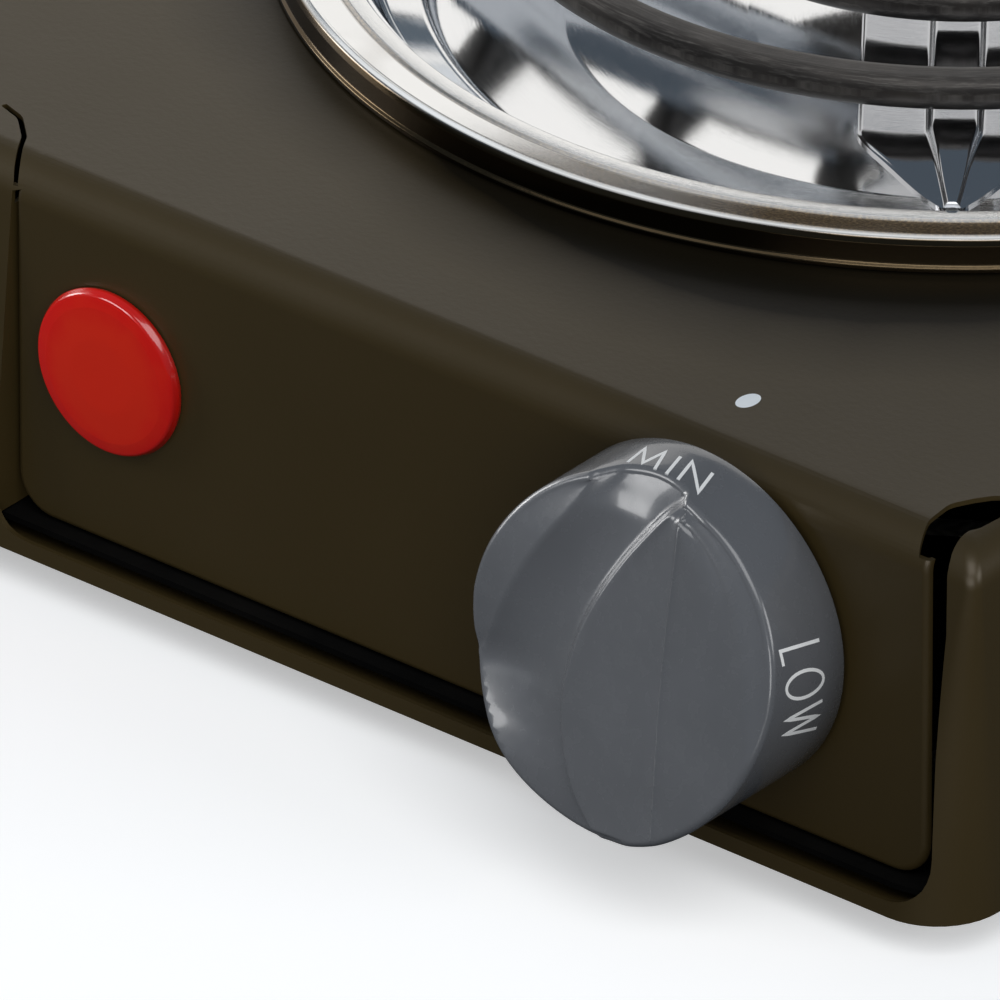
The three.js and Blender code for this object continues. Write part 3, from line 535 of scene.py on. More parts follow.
def flap_bend():
    """(y, z, and the outward direction reversed) at each station from the flap's front to its tongue."""
    stations = []
    for k in range(1, 13):
        a = math.pi / 2 * k / 12
        y = FRONT_Y + BEND_R * (1 - math.cos(a))
        stations.append((y, -BEND_R + BEND_R * math.sin(a), math.cos(a), -math.sin(a)))
    return stations + [(FRONT_Y + BEND_R + 4, 0, 0, -1), (FRONT_Y + BEND_R + 8, 0, 0, -1)]


def flap_panel():
    """The flap with its rolled-back side and lower edges, its bend, and a tongue under the deck's skin."""
    depths = [CURL_R * (1 - math.cos(math.pi / 2 * k / 7)) for k in range(8)]
    curl = [(d, CURL_R - math.sqrt(max(0.0, CURL_R ** 2 - (CURL_R - d) ** 2))) for d in depths]
    points, faces, rows = [], [], []
    for d, back in curl:
        r = max(0.4, FLAP_CORNER_R - d)
        left, right, foot = FLAP_LEFT + d, FLAP_RIGHT - d, FLAP_FOOT + d
        path = [(left, -BEND_R)]
        path += [(left, -BEND_R + (foot + r + BEND_R) * k / 6) for k in range(1, 6)]
        path += arc(left + r, foot + r, r, 180, 270, 10)
        path += arc(right - r, foot + r, r, 270, 360, 10)
        path += [(right, foot + r + (-BEND_R - foot - r) * k / 6) for k in range(1, 6)]
        path += [(right, -BEND_R)]
        rows.append(add_row(points, [(x, FRONT_Y + back, z) for x, z in path]))
    for a, b in zip(rows, rows[1:]):
        faces += band(a, b)
    faces.append(tuple(rows[-1]))
    before = [row[0] for row in rows] + [row[-1] for row in reversed(rows)]
    for y, z, ny, nz in flap_bend():
        across = [(FLAP_LEFT + d, back) for d, back in curl]
        across += [(FLAP_RIGHT - d, back) for d, back in reversed(curl)]
        now = add_row(points, [(x, y + back * ny, z + back * nz) for x, back in across])
        faces += band(before, now)
        before = now
    panel = mesh_from("flap", points, faces)
    if sum(p.normal.y * p.area for p in panel.data.polygons) > 0:
        panel.data.flip_normals()
    thick = panel.modifiers.new("sheet", "SOLIDIFY")
    thick.thickness = SHEET
    thick.offset = -1
    apply_modifiers(panel)
    return panel


def round_cutter(r, x, z, y0, y1, sides=48):
    """A round cutter along y."""
    return prism("hole", arc(x, z, r, 0, 360 - 360 / sides, sides - 1), y0, y1, "y")


def screw_tab(x, y):
    """A tab from the side wall over the base plate, with the screw's hole."""
    side = math.copysign(1, x)
    x0, x1 = sorted((x - side * 7, side * (HALF_WIDTH - SHEET / 2)))
    outline = fillet([(x0, y - 8), (x1, y - 8), (x1, y + 8), (x0, y + 8)], 2.5)
    tab = prism("tab", outline, PLATE_Z + 1.4, PLATE_Z + 2.6)
    boolean(tab, [prism("hole", arc(x, y, 2.1, 0, 345, 23), PLATE_Z, PLATE_Z + 5)])
    return tab


def build_housing():
    """The shell with its openings, the flap, the wall's return and the screw tabs, as one sheet."""
    body = shell()
    cuts = [prism("window", WINDOW, -170, FRONT_Y + BEND_R + 2, "y"),
            prism("deck_hole", arc(0, 0, DECK_HOLE_R, 0, 357.5, 143), -5, 5),
            round_cutter(6.2, BUSH.x, BUSH.z, REAR_Y - 5, REAR_Y + 5)]
    for k in range(7):
        x = -70 + 14 * k
        cuts.append(prism("vent", slot_outline(x, x + 4, -34, -14), REAR_Y - 5, REAR_Y + 5, "y"))
    boolean(body, cuts)
    flap = flap_panel()
    boolean(flap, [round_cutter(5.4, KNOB_X, KNOB_Z, FRONT_Y - 5, FRONT_Y + 5),
                   round_cutter(10.6, LAMP_X, LAMP_Z, FRONT_Y - 5, FRONT_Y + 5)])
    boolean(body, [flap], "UNION")
    boolean(body, [relief(RELIEF_RIGHT, FLAP_RIGHT), relief(RELIEF_LEFT, FLAP_LEFT)])
    boolean(body, [post_return()], "UNION")
    for x, y in SCREW_SPOTS:
        boolean(body, [screw_tab(x, y)], "UNION")
    return place(body, ENAMEL, "body", ["housing"], 32, weighted=True)


housing = build_housing()


# ---------- trim ring and drip bowl ----------
RING_PROFILE = fillet([
    (104.4, 0.3, 0), (104.4, 0.9, 0.3), (103.9, 1.3, 0.4), (103.8, 4.4, 0.8), (103.5, 5.4, 0.8),
    (102.5, 5.8, 0.5), (101.9, 5.5, 0.5), (97.3, 4.75, 0.3), (96.8, 5.15, 0.4), (94.2, 5.1, 0.4),
    (93.8, 4.6, 0.2), (93.9, 4.2, 0), (96.4, 4.2, 0.2), (97.0, 4.1, 0.3), (101.8, 4.9, 0.4),
    (102.8, 4.8, 0.5), (103.1, 4.2, 0.5), (103.3, 0.3, 0)], 0.4, 5)
trim_ring = lathe("trim_ring_detail", RING_PROFILE, 256)
place(trim_ring, RING_STEEL, "body", ["trim_ring"], 50)

bowl_top = fillet([(95.6, 3.7, 0), (93.4, 3.7, 0.4), (92.9, 3.0, 0.4), (92.2, 2.8, 0.3), (91.3, 1.4, 0.8),
                   (88, -4.6, 5), (80, -9.3, 9), (60, -12.3, 9), (32, -13.8, 8), (8, -14.4, 0)],
                  2, 8, closed=False)
bowl_under = [(r if r > 95 or r < 30 else r + 0.5, z - 0.7) for r, z in reversed(bowl_top)]
drip_bowl = lathe("drip_bowl_detail", bowl_top + bowl_under, 192)
terminal_slot = prism("slot", fillet([(78, -16), (97, -16), (97, 16), (78, 16)], 5, 6), -16, 2.2)
terminal_slot.data.transform(Matrix.Rotation(TERMINAL_ANGLE, 4, "Z"))
boolean(drip_bowl, [terminal_slot])
place(drip_bowl, CHROME, "body", ["drip_bowl"], 50, weighted=True)


# ---------- heating coil ----------
COIL_Z = 12.7
TUBE_R = 3.2
TUBE_FLAT = 2.62
COIL_R = 71.0
COIL_PITCH = 26.5
LEG = 9.5
LEG_Z = -9


def smoother(x):
    """Rises from 0 to 1 with level ends."""
    x = min(1.0, max(0.0, x))
    return x * x * x * (x * (6 * x - 15) + 10)


def terminal_point(d, n, z):
    """A point d out along the terminals' direction and n across it."""
    c, s = math.cos(TERMINAL_ANGLE), math.sin(TERMINAL_ANGLE)
    return Vector((d * c - n * s, d * s + n * c, z))


def coil_turn(swept, z):
    """A point of the turns after so many degrees; the radius steps in once a turn."""
    r = COIL_R - COIL_PITCH * (smoother((swept - 285) / 95) + smoother((swept - 645) / 95))
    a = TERMINAL_ANGLE + math.radians(swept)
    return Vector((r * math.cos(a), r * math.sin(a), z))


def catmull(points, steps):
    """A smooth path through points."""
    out = []
    for i in range(len(points) - 1):
        p0, p1 = points[max(i - 1, 0)], points[i]
        p2, p3 = points[i + 1], points[min(i + 2, len(points) - 1)]
        for k in range(steps):
            t = k / steps
            out.append(0.5 * ((2 * p1) + (p2 - p0) * t + (2 * p0 - 5 * p1 + 4 * p2 - p3) * t * t
                              + (3 * p1 - p0 - 3 * p2 + p3) * t ** 3))
    out.append(points[-1])
    return out


def coil_path():
    """The tube's centreline: one cold end, the turns from the outside in, the other cold end."""
    rise = [terminal_point(d, LEG, LEG_Z) for d in (106, 99, 92)]
    rise += [terminal_point(84, 10.5, -6.5), terminal_point(76, 14.5, 0)]
    rise += [coil_turn(swept, z) for swept, z in ((20, 7), (31, 11.4), (42, COIL_Z), (52, COIL_Z))]
    fall = [coil_turn(1000, COIL_Z), coil_turn(1010, COIL_Z)]
    fall += [terminal_point(*spot) for spot in ((14.5, -13.2, 12.4), (24, -10.6, 10.2), (34, -9.7, 6.6))]
    fall += [terminal_point(d, -LEG, z) for d, z in ((44, 4.6), (58, 3.4), (70, -0.4), (80, -5.6))]
    fall += [terminal_point(d, -LEG, LEG_Z) for d in (92, 99, 106)]
    turns = [coil_turn(52 + 3 * k, COIL_Z) for k in range(1, 316)]
    return catmull(rise, 4) + turns + catmull(fall, 4)


def tube_section(sides=22):
    """The pressed tube: round below, flat on the pan side."""
    out = []
    for k in range(sides):
        a = 2 * math.pi * (k + 0.5) / sides
        out.append((-TUBE_R * math.cos(a), min(TUBE_R * math.sin(a), TUBE_FLAT)))
    return out


def sweep(name, path, section):
    """A section carried along a path, upright."""
    rings = []
    for i, p in enumerate(path):
        tangent = (path[min(i + 1, len(path) - 1)] - path[max(i - 1, 0)]).normalized()
        across = tangent.cross(Vector((0, 0, 1))).normalized()
        over = across.cross(tangent).normalized()
        rings.append([p + across * s + over * t for s, t in section])
    return loft(name, rings)


coil = sweep("heating_coil_detail", coil_path(), tube_section())
pins = []
for side in (-1, 1):
    pin = prism("pin", arc(0, 0, 1.5, 0, 340, 17), 102, 118)
    pin.data.transform(Matrix.Rotation(TERMINAL_ANGLE, 4, "Z") @ Matrix.Translation((0, side * LEG, LEG_Z))
                       @ Matrix.Rotation(math.pi / 2, 4, "Y"))
    pins.append(pin)
boolean(coil, pins, "UNION")
place(coil, SHEATH, "body", ["heating_coil"], 40)


# ---------- support arms and the centre fixing ----------
ARM_INNER, ARM_REACH, ARM_TAPER, ARM_HALF = 9.0, 93.2, 19.0, 14.3
ARM_TIP_HALF = 1.6
ARM_TOP = 6.85
ARM_SHEET = 0.95
RIB_HALF, RIB_TIP_HALF = 4.6, 1.3
RIB_SIDE, RIB_SIDE_LOSS = 1.7, 0.8
RIB_RISE, EDGE_ROLL, TIP_DROOP = 1.45, 0.45, 1.5


def arm_narrowing(d):
    """0 along the arm, rising to 1 over its taper."""
    return min(1.0, max(0.0, (d - ARM_REACH + ARM_TAPER) / ARM_TAPER))


def arm_half_width(d):
    """Half the arm's width at a distance from the centre."""
    if d < ARM_INNER + 8:
        return ARM_HALF * (0.55 + 0.45 * math.sin(math.pi / 2 * (d - ARM_INNER) / 8))
    return ARM_HALF + (ARM_TIP_HALF - ARM_HALF) * arm_narrowing(d) ** 1.3


def arm_rib(d):
    """(half width of the raised middle, width of its sloping side)."""
    narrow = arm_narrowing(d)
    return RIB_HALF + (RIB_TIP_HALF - RIB_HALF) * narrow, RIB_SIDE - RIB_SIDE_LOSS * narrow


def arm_height(d, n, half_width):
    """The arm's top, at a distance n from its middle line."""
    middle, side = arm_rib(d)
    ends = smoother((d - 15) / 5) * (1 - 0.55 * arm_narrowing(d) ** 2)
    rib = RIB_RISE * ends * (1 - smoother((abs(n) - middle + side) / side))
    roll = EDGE_ROLL * (1 - smoother((half_width - abs(n)) / 0.7))
    droop = TIP_DROOP * smoother((d - ARM_REACH + 14) / 14)
    return ARM_TOP + rib - roll - droop


def arm_row(d):
    """Distances from the arm's middle line across one station."""
    w = arm_half_width(d)
    middle, side = arm_rib(d)
    half = [0, 0.5 * (middle - side)] + [middle - side + side * k / 6 for k in range(7)]
    if w > middle + 1.2:
        half += [middle + (w - 0.8 - middle) * k / 3 for k in (1, 2, 3)]
    else:
        half += [middle + 0.02 * k for k in (1, 2, 3)]
    crest = half[-1]
    half += [crest + (max(w, crest + 0.1) - crest) * k / 4 for k in (1, 2, 3, 4)]
    return [-n for n in reversed(half[1:])] + half


def arm(number, degrees):
    """A stamped arm: a flat plate with a rolled edge and a raised middle that narrows to the tip."""
    rings = []
    for k in range(85):
        d = ARM_INNER + (ARM_REACH - ARM_INNER) * k / 84
        row = arm_row(d)
        top = [(d, n, arm_height(d, n, row[-1])) for n in row]
        rings.append(top + [(d, n, z - ARM_SHEET) for d, n, z in reversed(top)])
    piece = loft(f"support_arm_{number}_detail", rings)
    piece.data.transform(Matrix.Rotation(math.radians(degrees), 4, "Z"))
    return place(piece, ARM_CHROME, "body", [f"support_arm_{number}"], 50)


for number, degrees in enumerate((-52, 68, 188), 1):
    arm(number, degrees)

cap = lathe("centre_cap_detail", fillet([(3, 7.25, 0), (12.8, 7.25, 0), (13, 7.5, 0.2), (12.9, 8.1, 0.4),
                                         (10.5, 9.1, 1.5), (3, 9.45, 0)], 0.4), 72)
place(cap, ARM_CHROME, "body", ["centre_cap"], 40)


def cross_recess(x, y, z0, z1, size):
    """Cutters for a cross recess."""
    arms = []
    half = size * 0.22
    for turn in (0, 90):
        bar = prism("recess", [(-size, -half), (size, -half), (size, half), (-size, half)], z0, z1)
        bar.data.transform(Matrix.Translation((x, y, 0)) @ Matrix.Rotation(math.radians(turn), 4, "Z"))
        arms.append(bar)
    return arms


bolt_profile = fillet([(0, -28.9, 0), (2.4, -28.9, 0.3), (2.4, 9.9, 0), (4.6, 9.9, 0.2), (4.5, 11.0, 0.7),
                       (2.6, 12.0, 1.5), (0, 12.15, 0)], 0.4, closed=False)
bolt = lathe("centre_bolt_detail", bolt_profile, 48)
boolean(bolt, cross_recess(0, 0, 10.6, 14, 2.3))
place(bolt, DULL_STEEL, "body", ["centre_bolt"], 40)


# ---------- pilot lens, feet, screws and bushing ----------
lens_profile = fillet([(0, 2.75, 0), (6, 2.7, 4), (11.0, 2.35, 2), (13.0, 1.95, 0.9), (13.55, 0.9, 0.5),
                       (13.4, 0.32, 0), (10.2, 0.32, 0), (10.2, -6, 0.3), (8.8, -6, 0.3), (8.8, 0.4, 0),
                       (6, 1.2, 0), (0, 1.4, 0)], 0.3, 5, closed=False)
lens = lathe("pilot_lens_detail", lens_profile, 96,
             Matrix.Translation((LAMP_X, FRONT_Y, LAMP_Z)) @ Matrix.Rotation(math.pi / 2, 4, "X"))
place(lens, LENS_RED, "body", ["pilot_lens"], 50)

FOOT_PROFILE = fillet([(5.2, 0, 0.4), (8.9, 0, 0.7), (10, 1.3, 0.5), (9.95, 2.4, 0.4), (9.3, 2.9, 0.4),
                       (9.2, 9.0, 0.3), (2.4, 9.1, 0), (2.4, 4.2, 0.2), (5.2, 4.2, 0.3)], 0.5)
FOOT_SCREW_PROFILE = fillet([(0, 2.0, 0), (3.4, 2.15, 1.0), (4.4, 2.7, 0.5), (4.4, 3.2, 0.2),
                             (3.6, 3.9, 0.2), (1.9, 3.9, 0), (1.9, 13.4, 0.3),
                             (0, 14.2, 0)], 0.3, closed=False)
BASE_SCREW_PROFILE = fillet([(0, -2.3, 0), (2.4, -2.2, 0.8), (3.5, -1.3, 0.5), (3.6, -0.35, 0.1),
                             (1.75, -0.3, 0), (1.75, 6, 0.3), (0, 7, 0)], 0.3, closed=False)

for corner in ("front_left", "front_right", "rear_left", "rear_right"):
    x, y, _ = middle_of(f"foot_{corner}")
    standing = Matrix.Translation((x, y, TABLE_Z))
    foot = lathe(f"foot_{corner}_detail", FOOT_PROFILE, 64, standing)
    place(foot, RUBBER, "body", [f"foot_{corner}"], 45)
    screw = lathe(f"foot_screw_{corner}_detail", FOOT_SCREW_PROFILE, 40, standing)
    boolean(screw, cross_recess(x, y, TABLE_Z - 1, TABLE_Z + 3.2, 2.0))
    place(screw, DULL_STEEL, "body", [f"foot_screw_{corner}"], 40)

for number, (x, y) in enumerate(SCREW_SPOTS, 1):
    spot = Matrix.Translation((x, y, PLATE_Z))
    screw = lathe(f"base_screw_{number}_detail", BASE_SCREW_PROFILE, 40, spot)
    boolean(screw, cross_recess(x, y, PLATE_Z - 4, PLATE_Z - 1.3, 1.7))
    place(screw, DULL_STEEL, "body", [f"base_screw_{number}"], 40)

bushing_profile = fillet([(3.8, -4.6, 0.4), (8, -4.6, 0.5), (8, -1.4, 0.2), (5.9, -1.4, 0), (5.9, 0.3, 0),
                          (8.6, 0.3, 0.3), (8.4, 2.6, 0.9), (7.2, 3.4, 0.5), (3.8, 3.4, 0.6)], 0.4, 5)
bushing = lathe("cord_bushing_detail", bushing_profile, 64,
                Matrix.Translation((BUSH.x, REAR_Y, BUSH.z)) @ Matrix.Rotation(-math.pi / 2, 4, "X"))
place(bushing, RUBBER, "body", ["cord_bushing"], 45)

index_outline = [(0.75 * x + KNOB_X - 4.6, 1.13 * y - 130) for x, y in arc(0, 0, 2.05, 0, 352.5, 47)]
index = prism("index_dot", index_outline, -0.3, 0.03)
place(index, INDEX_WHITE, "body", (), 40)


# ---------- knob: a round skirt, a sloping face, and a leaf-shaped grip with a crease ----------
KNOB_R = 27.2
RIM_FILLET = 1.1
KNOB_REAR = 1.3
FACE, FACE_SIDE, FACE_UP = 20.5, -0.06, -0.248
GRIP_RISE = 1.15
CREASE_RISE = 1.9
CREASE_HALF, CREASE_LINE = 0.2, 0.12
LEAF_FOOT, LEAF_CREST = 1.0, 0.8
LEAF_SAG, LEAF_SWELL = 0.35, 0.15
SHOULDER_IN, SHOULDER_OUT = 3.4, 2.0
FACE_THICKNESS = 3.4
FLANK_FOOT, FLANK_SAG = -0.5, 1.0
ROWS = 150
KNOB_PLACE = Matrix(((1, 0, 0, KNOB_X), (0, 0, -1, FRONT_Y), (0, 1, 0, KNOB_Z), (0, 0, 0, 1)))


def smooth_curve(points):
    """A function through (b, a) points in falling b, a cubic between each two."""
    def at(b):
        if b >= points[0][0]:
            return points[0][1]
        if b <= points[-1][0]:
            return points[-1][1]
        i = next(k for k in range(len(points) - 1) if points[k + 1][0] <= b)

        def slope(k):
            lo, hi = max(k - 1, 0), min(k + 1, len(points) - 1)
            return (points[hi][1] - points[lo][1]) / (points[hi][0] - points[lo][0])
        (b0, a0), (b1, a1) = points[i], points[i + 1]
        h = b1 - b0
        t = (b - b0) / h
        return ((2 * t ** 3 - 3 * t * t + 1) * a0 + (t ** 3 - 2 * t * t + t) * h * slope(i)
                + (3 * t * t - 2 * t ** 3) * a1 + (t ** 3 - t * t) * h * slope(i + 1))
    return at


# the face's lines across the knob, as (height b, position a): the leaf, its crease and the scoop's edge
GRIP_LEFT = smooth_curve([(26.2, 7.4), (25.2, 6.2), (23.2, 4.2), (20.2, 2.0), (14.9, -1.5), (8.6, -4.8),
                          (3.0, -6.9), (-2.3, -7.9), (-6.6, -8.2), (-11.0, -7.6), (-15.6, -6.3),
                          (-20.3, -4.0), (-23.6, -1.2), (-27.0, 2.4)])
GRIP_CREASE = smooth_curve([(26.2, 7.5), (19.7, 8.0), (11.0, 8.4), (2.0, 9.0), (-5.4, 9.7), (-12.8, 10.6),
                            (-22.0, 11.7), (-27.0, 12.4)])
GRIP_RIGHT = smooth_curve([(26.2, 7.6), (25.4, 8.2), (23.5, 11.6), (21.2, 15.0), (18.3, 18.2), (14.9, 20.7),
                           (10.8, 22.5), (7.0, 23.6), (3.0, 24.6), (-2.0, 25.8), (-8.0, 27.0),
                           (-27.0, 29.0)])
SCOOP_EDGE = smooth_curve([(27.0, -8.6), (25.0, -9.2), (21.7, -10.8), (17.9, -12.9), (12.6, -16.3),
                           (7.2, -19.1), (1.1, -21.7), (-3.0, -23.2), (-7.1, -25.0), (-10.0, -27.2),
                           (-27.0, -29.0)])
# heights over the sloping face, as (height b, rise): the rim at the left and the scoop's edge
BELOW_SCOOP = [(-10.0, -1.7), (-14.0, -0.5), (-17.0, 0.7), (-20.0, 1.4), (-23.0, 1.1), (-26.0, 0.0)]
LEFT_RIM = smooth_curve([(27.0, 0.0), (12.0, 0.7), (3.0, 0.0), (0.0, -0.6), (-4.0, -1.5), (-7.1, -2.4)]
                        + BELOW_SCOOP)
SCOOP_LEVEL = smooth_curve([(27.0, -0.9), (22.0, 0.4), (17.0, 1.1), (10.0, 1.1), (3.0, 0.3), (-2.0, -0.8),
                            (-7.1, -2.2)] + BELOW_SCOOP)


def face_level(a, b):
    """The sloping plane that the face is built on."""
    return FACE + FACE_SIDE * a + FACE_UP * b


def face_row(b, w):
    """(a, height over the sloping face) along one row of the face, w to either side of its middle."""
    left, crease, right = GRIP_LEFT(b), GRIP_CREASE(b), GRIP_RIGHT(b)
    span = smoother((min(right, w) - max(left, -w)) / 8)
    rise, ridge = GRIP_RISE * span, CREASE_RISE * span
    scoop = SCOOP_EDGE(b)
    foot, crest, shoulder = left - LEAF_FOOT, left + LEAF_CREST, right - SHOULDER_IN

    def flank(a):
        t = min(1.0, max(0.0, (a - scoop) / max(0.1, foot - scoop)))
        fall = 1.5 * smoother((b - 19.5) / 8) * min(1.0, 5 * t)
        return SCOOP_LEVEL(b) * (1 - t) + FLANK_FOOT * t - FLANK_SAG * 4 * t * (1 - t) - fall

    def height(a):
        if a < scoop:
            t = min(1.0, max(0.0, (a + w) / max(0.1, scoop + w)))
            return LEFT_RIM(b) + (flank(scoop) - LEFT_RIM(b)) * t ** 1.5
        if a < foot:
            return flank(a)
        if a < crest:
            t = (a - foot) / (LEAF_FOOT + LEAF_CREST)
            ease = math.sin(t * math.pi / 2) ** 1.5 - t
            return flank(foot) * (1 - t) + rise * t + (rise - flank(foot)) * ease
        if a < crease:
            t = (a - crest) / max(0.1, crease - crest)
            return rise + (ridge - rise) * t - LEAF_SAG * span * 4 * t * (1 - t)
        if a < shoulder:
            t = (a - crease) / max(0.1, shoulder - crease)
            return ridge + (rise - ridge) * t + LEAF_SWELL * span * 4 * t * (1 - t)
        return rise * (1 - smoother((a - shoulder) / (SHOULDER_IN + SHOULDER_OUT)))

    marks = [(-w, 0), (scoop, 8), (foot, 18), (crest, 9), (crease - CREASE_HALF, 12), (crease, 1),
             (crease + CREASE_HALF, 1), (shoulder, 12), (right + SHOULDER_OUT, 12), (w, 3)]
    row = [(-w, height(-w))]
    for (start, _), (end, count) in zip(marks, marks[1:]):
        for k in range(1, count + 1):
            a = min(w, max(-w, start + (end - start) * k / count))
            line = CREASE_LINE * span if abs(a - crease) < 0.01 else 0
            row.append((a, height(a) + line))
    row[-1] = (w, height(w))
    return row


def knob_face(radius):
    """Points and faces of the face, and its boundary."""
    points, faces, rows = [], [], []
    for j in range(ROWS + 1):
        b = radius * math.cos(math.pi * j / ROWS)
        w = max(1e-4, radius * math.sin(math.pi * j / ROWS))
        row = face_row(b, w)
        rows.append(add_row(points, [(a, b, face_level(a, b) + h) for a, h in row]))
    for upper, lower in zip(rows, rows[1:]):
        faces += band(upper, lower)
    # the top and bottom rows are as good as single points, so only one end of each is kept
    right = [points[row[-1]] for row in rows[:-1]]
    left = [points[row[0]] for row in reversed(rows[1:])]
    return points, faces, right + left


def knob_wall(boundary, radius):
    """Rings from the face's boundary over the rounded rim, down the wall, and in under the knob."""
    def ring_at(reach, level):
        return [(a * reach / math.hypot(a, b), b * reach / math.hypot(a, b), level(f))
                for a, b, f in boundary]

    rings = []
    for k in range(8):
        turn = math.pi / 2 * k / 7
        drop = RIM_FILLET * (1 - math.cos(turn))
        rings.append(ring_at(radius + RIM_FILLET * math.sin(turn), lambda f: f - drop))
    rim = rings[-1]
    for share in (0.25, 0.5, 0.75):
        rings.append([(a, b, f + (KNOB_REAR + 0.5 - f) * share) for a, b, f in rim])
    for inset, rise in ((0, 0.5), (0.15, 0.15), (0.5, 0), (2, 0)):
        rings.append(ring_at(KNOB_R - inset, lambda f: KNOB_REAR + rise))
    rings.append([(a, b, face_level(a, b) - FACE_THICKNESS) for a, b, _ in rings[-1]])
    return rings


def build_knob():
    """The knob's face, wall and hollow. The mesh isn't manifold, so the hub and bore are only in the CAD."""
    radius = KNOB_R - RIM_FILLET
    points, faces, boundary = knob_face(radius)
    rows = [add_row(points, ring) for ring in knob_wall(boundary, radius)]
    piece = mesh_from("knob_detail", points, faces + tube(rows) + [tuple(rows[-1])])
    piece.data.transform(KNOB_PLACE)
    return place(piece, GREY_PLASTIC, "knob", ["knob"], 38)


# letters as pen strokes in a box one high; each is its width and its strokes
O_SHAPE = [(0.42 + 0.42 * math.cos(2 * math.pi * k / 28), 0.5 + 0.5 * math.sin(2 * math.pi * k / 28))
           for k in range(28)]
D_BOW = [(0.25 + 0.4 * math.sin(math.pi * k / 12), 0.5 + 0.5 * math.cos(math.pi * k / 12))
         for k in range(1, 12)]
D_SHAPE = [(0, 0), (0, 1), (0.25, 1)] + D_BOW + [(0.25, 0)]
LETTERS = {
    "M": (0.95, [[(0, 0), (0.12, 1), (0.475, 0.12), (0.83, 1), (0.95, 0)]]),
    "I": (0.0, [[(0, 0), (0, 1)]]),
    "N": (0.72, [[(0, 0), (0, 1), (0.72, 0), (0.72, 1)]]),
    "L": (0.45, [[(0, 1), (0, 0), (0.45, 0)]]),
    "O": (0.84, [O_SHAPE + O_SHAPE[:1]]),
    "W": (1.0, [[(0, 1), (0.25, 0), (0.5, 0.95), (0.75, 0), (1.0, 1)]]),
    "E": (0.5, [[(0.5, 1), (0, 1), (0, 0), (0.5, 0)], [(0.05, 0.52), (0.45, 0.52)]]),
    "D": (0.65, [D_SHAPE + D_SHAPE[:1]]),
    "A": (0.75, [[(0, 0), (0.375, 1), (0.75, 0)], [(0.16, 0.33), (0.59, 0.33)]]),
    "X": (0.7, [[(0, 1), (0.7, 0)], [(0.7, 1), (0, 0)]]),
}
PEN = 0.56


def pen_stroke(points, to_dial):
    """One stroke as a thin closed band that follows the dial."""
    closed = points[0] == points[-1]
    fine = [Vector(points[0])]
    for p, q in zip(points, points[1:]):
        steps = max(1, int((Vector(q) - Vector(p)).length / 1.0))
        fine += [Vector(p).lerp(Vector(q), k / steps) for k in range(1, steps + 1)]
    if closed:
        fine.pop()
    count = len(fine)
    rings = []
    for i, p in enumerate(fine):
        back = fine[i - 1] if closed or i else None
        ahead = fine[(i + 1) % count] if closed or i < count - 1 else None
        u = (p - back).normalized() if back is not None else (ahead - p).normalized()
        v = (ahead - p).normalized() if ahead is not None else u
        normal = Vector((-u.y - v.y, u.x + v.x)).normalized()
        reach = PEN / 2 / max(0.45, normal.dot(Vector((-u.y, u.x))))
        a, b = p + normal * reach, p - normal * reach
        rings.append([to_dial(a, 0.04), to_dial(b, 0.04), to_dial(b, -0.25), to_dial(a, -0.25)])
    return loft("stroke", rings, closed=closed)


def dial_word(word, degrees, f_middle, height, lean):
    """A word printed round the knob's side, its middle at an angle and a distance from the panel."""
    small = height < 7
    gap = (0.42 if small else 0.2) * height
    wide = (1.05 if small else 0.62) * height
    widths = [LETTERS[letter][0] * wide for letter in word]
    x = -(sum(widths) + gap * (len(word) - 1)) / 2
    strokes = []

    def to_dial(p, lift):
        angle = math.radians(degrees) - (p.x + lean * p.y) / KNOB_R
        r = KNOB_R + lift
        return (r * math.cos(angle), r * math.sin(angle), f_middle - p.y)

    for letter, width in zip(word, widths):
        for stroke in LETTERS[letter][1]:
            strokes.append(pen_stroke([(x + px * wide, (py - 0.5) * height) for px, py in stroke], to_dial))
        x += width + gap
    joined = bmesh.new()
    for stroke in strokes:
        joined.from_mesh(stroke.data)
        bpy.data.objects.remove(stroke)
    mesh = bpy.data.meshes.new("dial")
    joined.to_mesh(mesh)
    joined.free()
    piece = new_object("dial_" + word.lower(), mesh)
    piece.data.transform(KNOB_PLACE)
    return place(piece, DIAL_WHITE, "knob", (), 40)


knob = build_knob()
dial_word("MIN", 91, 8.0, 5.2, -0.3)
dial_word("LOW", 0, 10.6, 8.4, 0.2)
dial_word("MED", -90, 13.5, 6.0, 0.0)
dial_word("MAX", 180, 10.5, 6.0, 0.0)

# ---------- finishes for the CAD pieces that stay as they are ----------
CARRIED = {
    "base_plate": BLACK_PAINT, "heat_tray": ZINC, "centre_nut": DULL_STEEL, "terminal_block": CERAMIC,
    "coil_clamp_plate": ZINC, "terminal_screw_1": BRASS, "terminal_screw_2": BRASS,
    "thermostat_body": BAKELITE, "thermostat_bracket": ZINC, "thermostat_nut": BRASS, "spindle": ZINC,
    "knob_clip": ZINC, "lamp_holder": BAKELITE, "lamp_bulb": BULB, "lamp_clip": ZINC,
    "mains_connector": CERAMIC, "earth_screw": BRASS, "lead_thermostat_to_coil": SLEEVE,
    "lead_coil_to_mains": SLEEVE, "lead_mains_to_thermostat": SLEEVE, "lead_lamp_live": SLEEVE,
    "lead_lamp_neutral": SLEEVE, "lead_earth": EARTH_SLEEVE,
}
for name, material in CARRIED.items():
    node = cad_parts[name]
    node.data.materials.clear()
    node.data.materials.append(material)


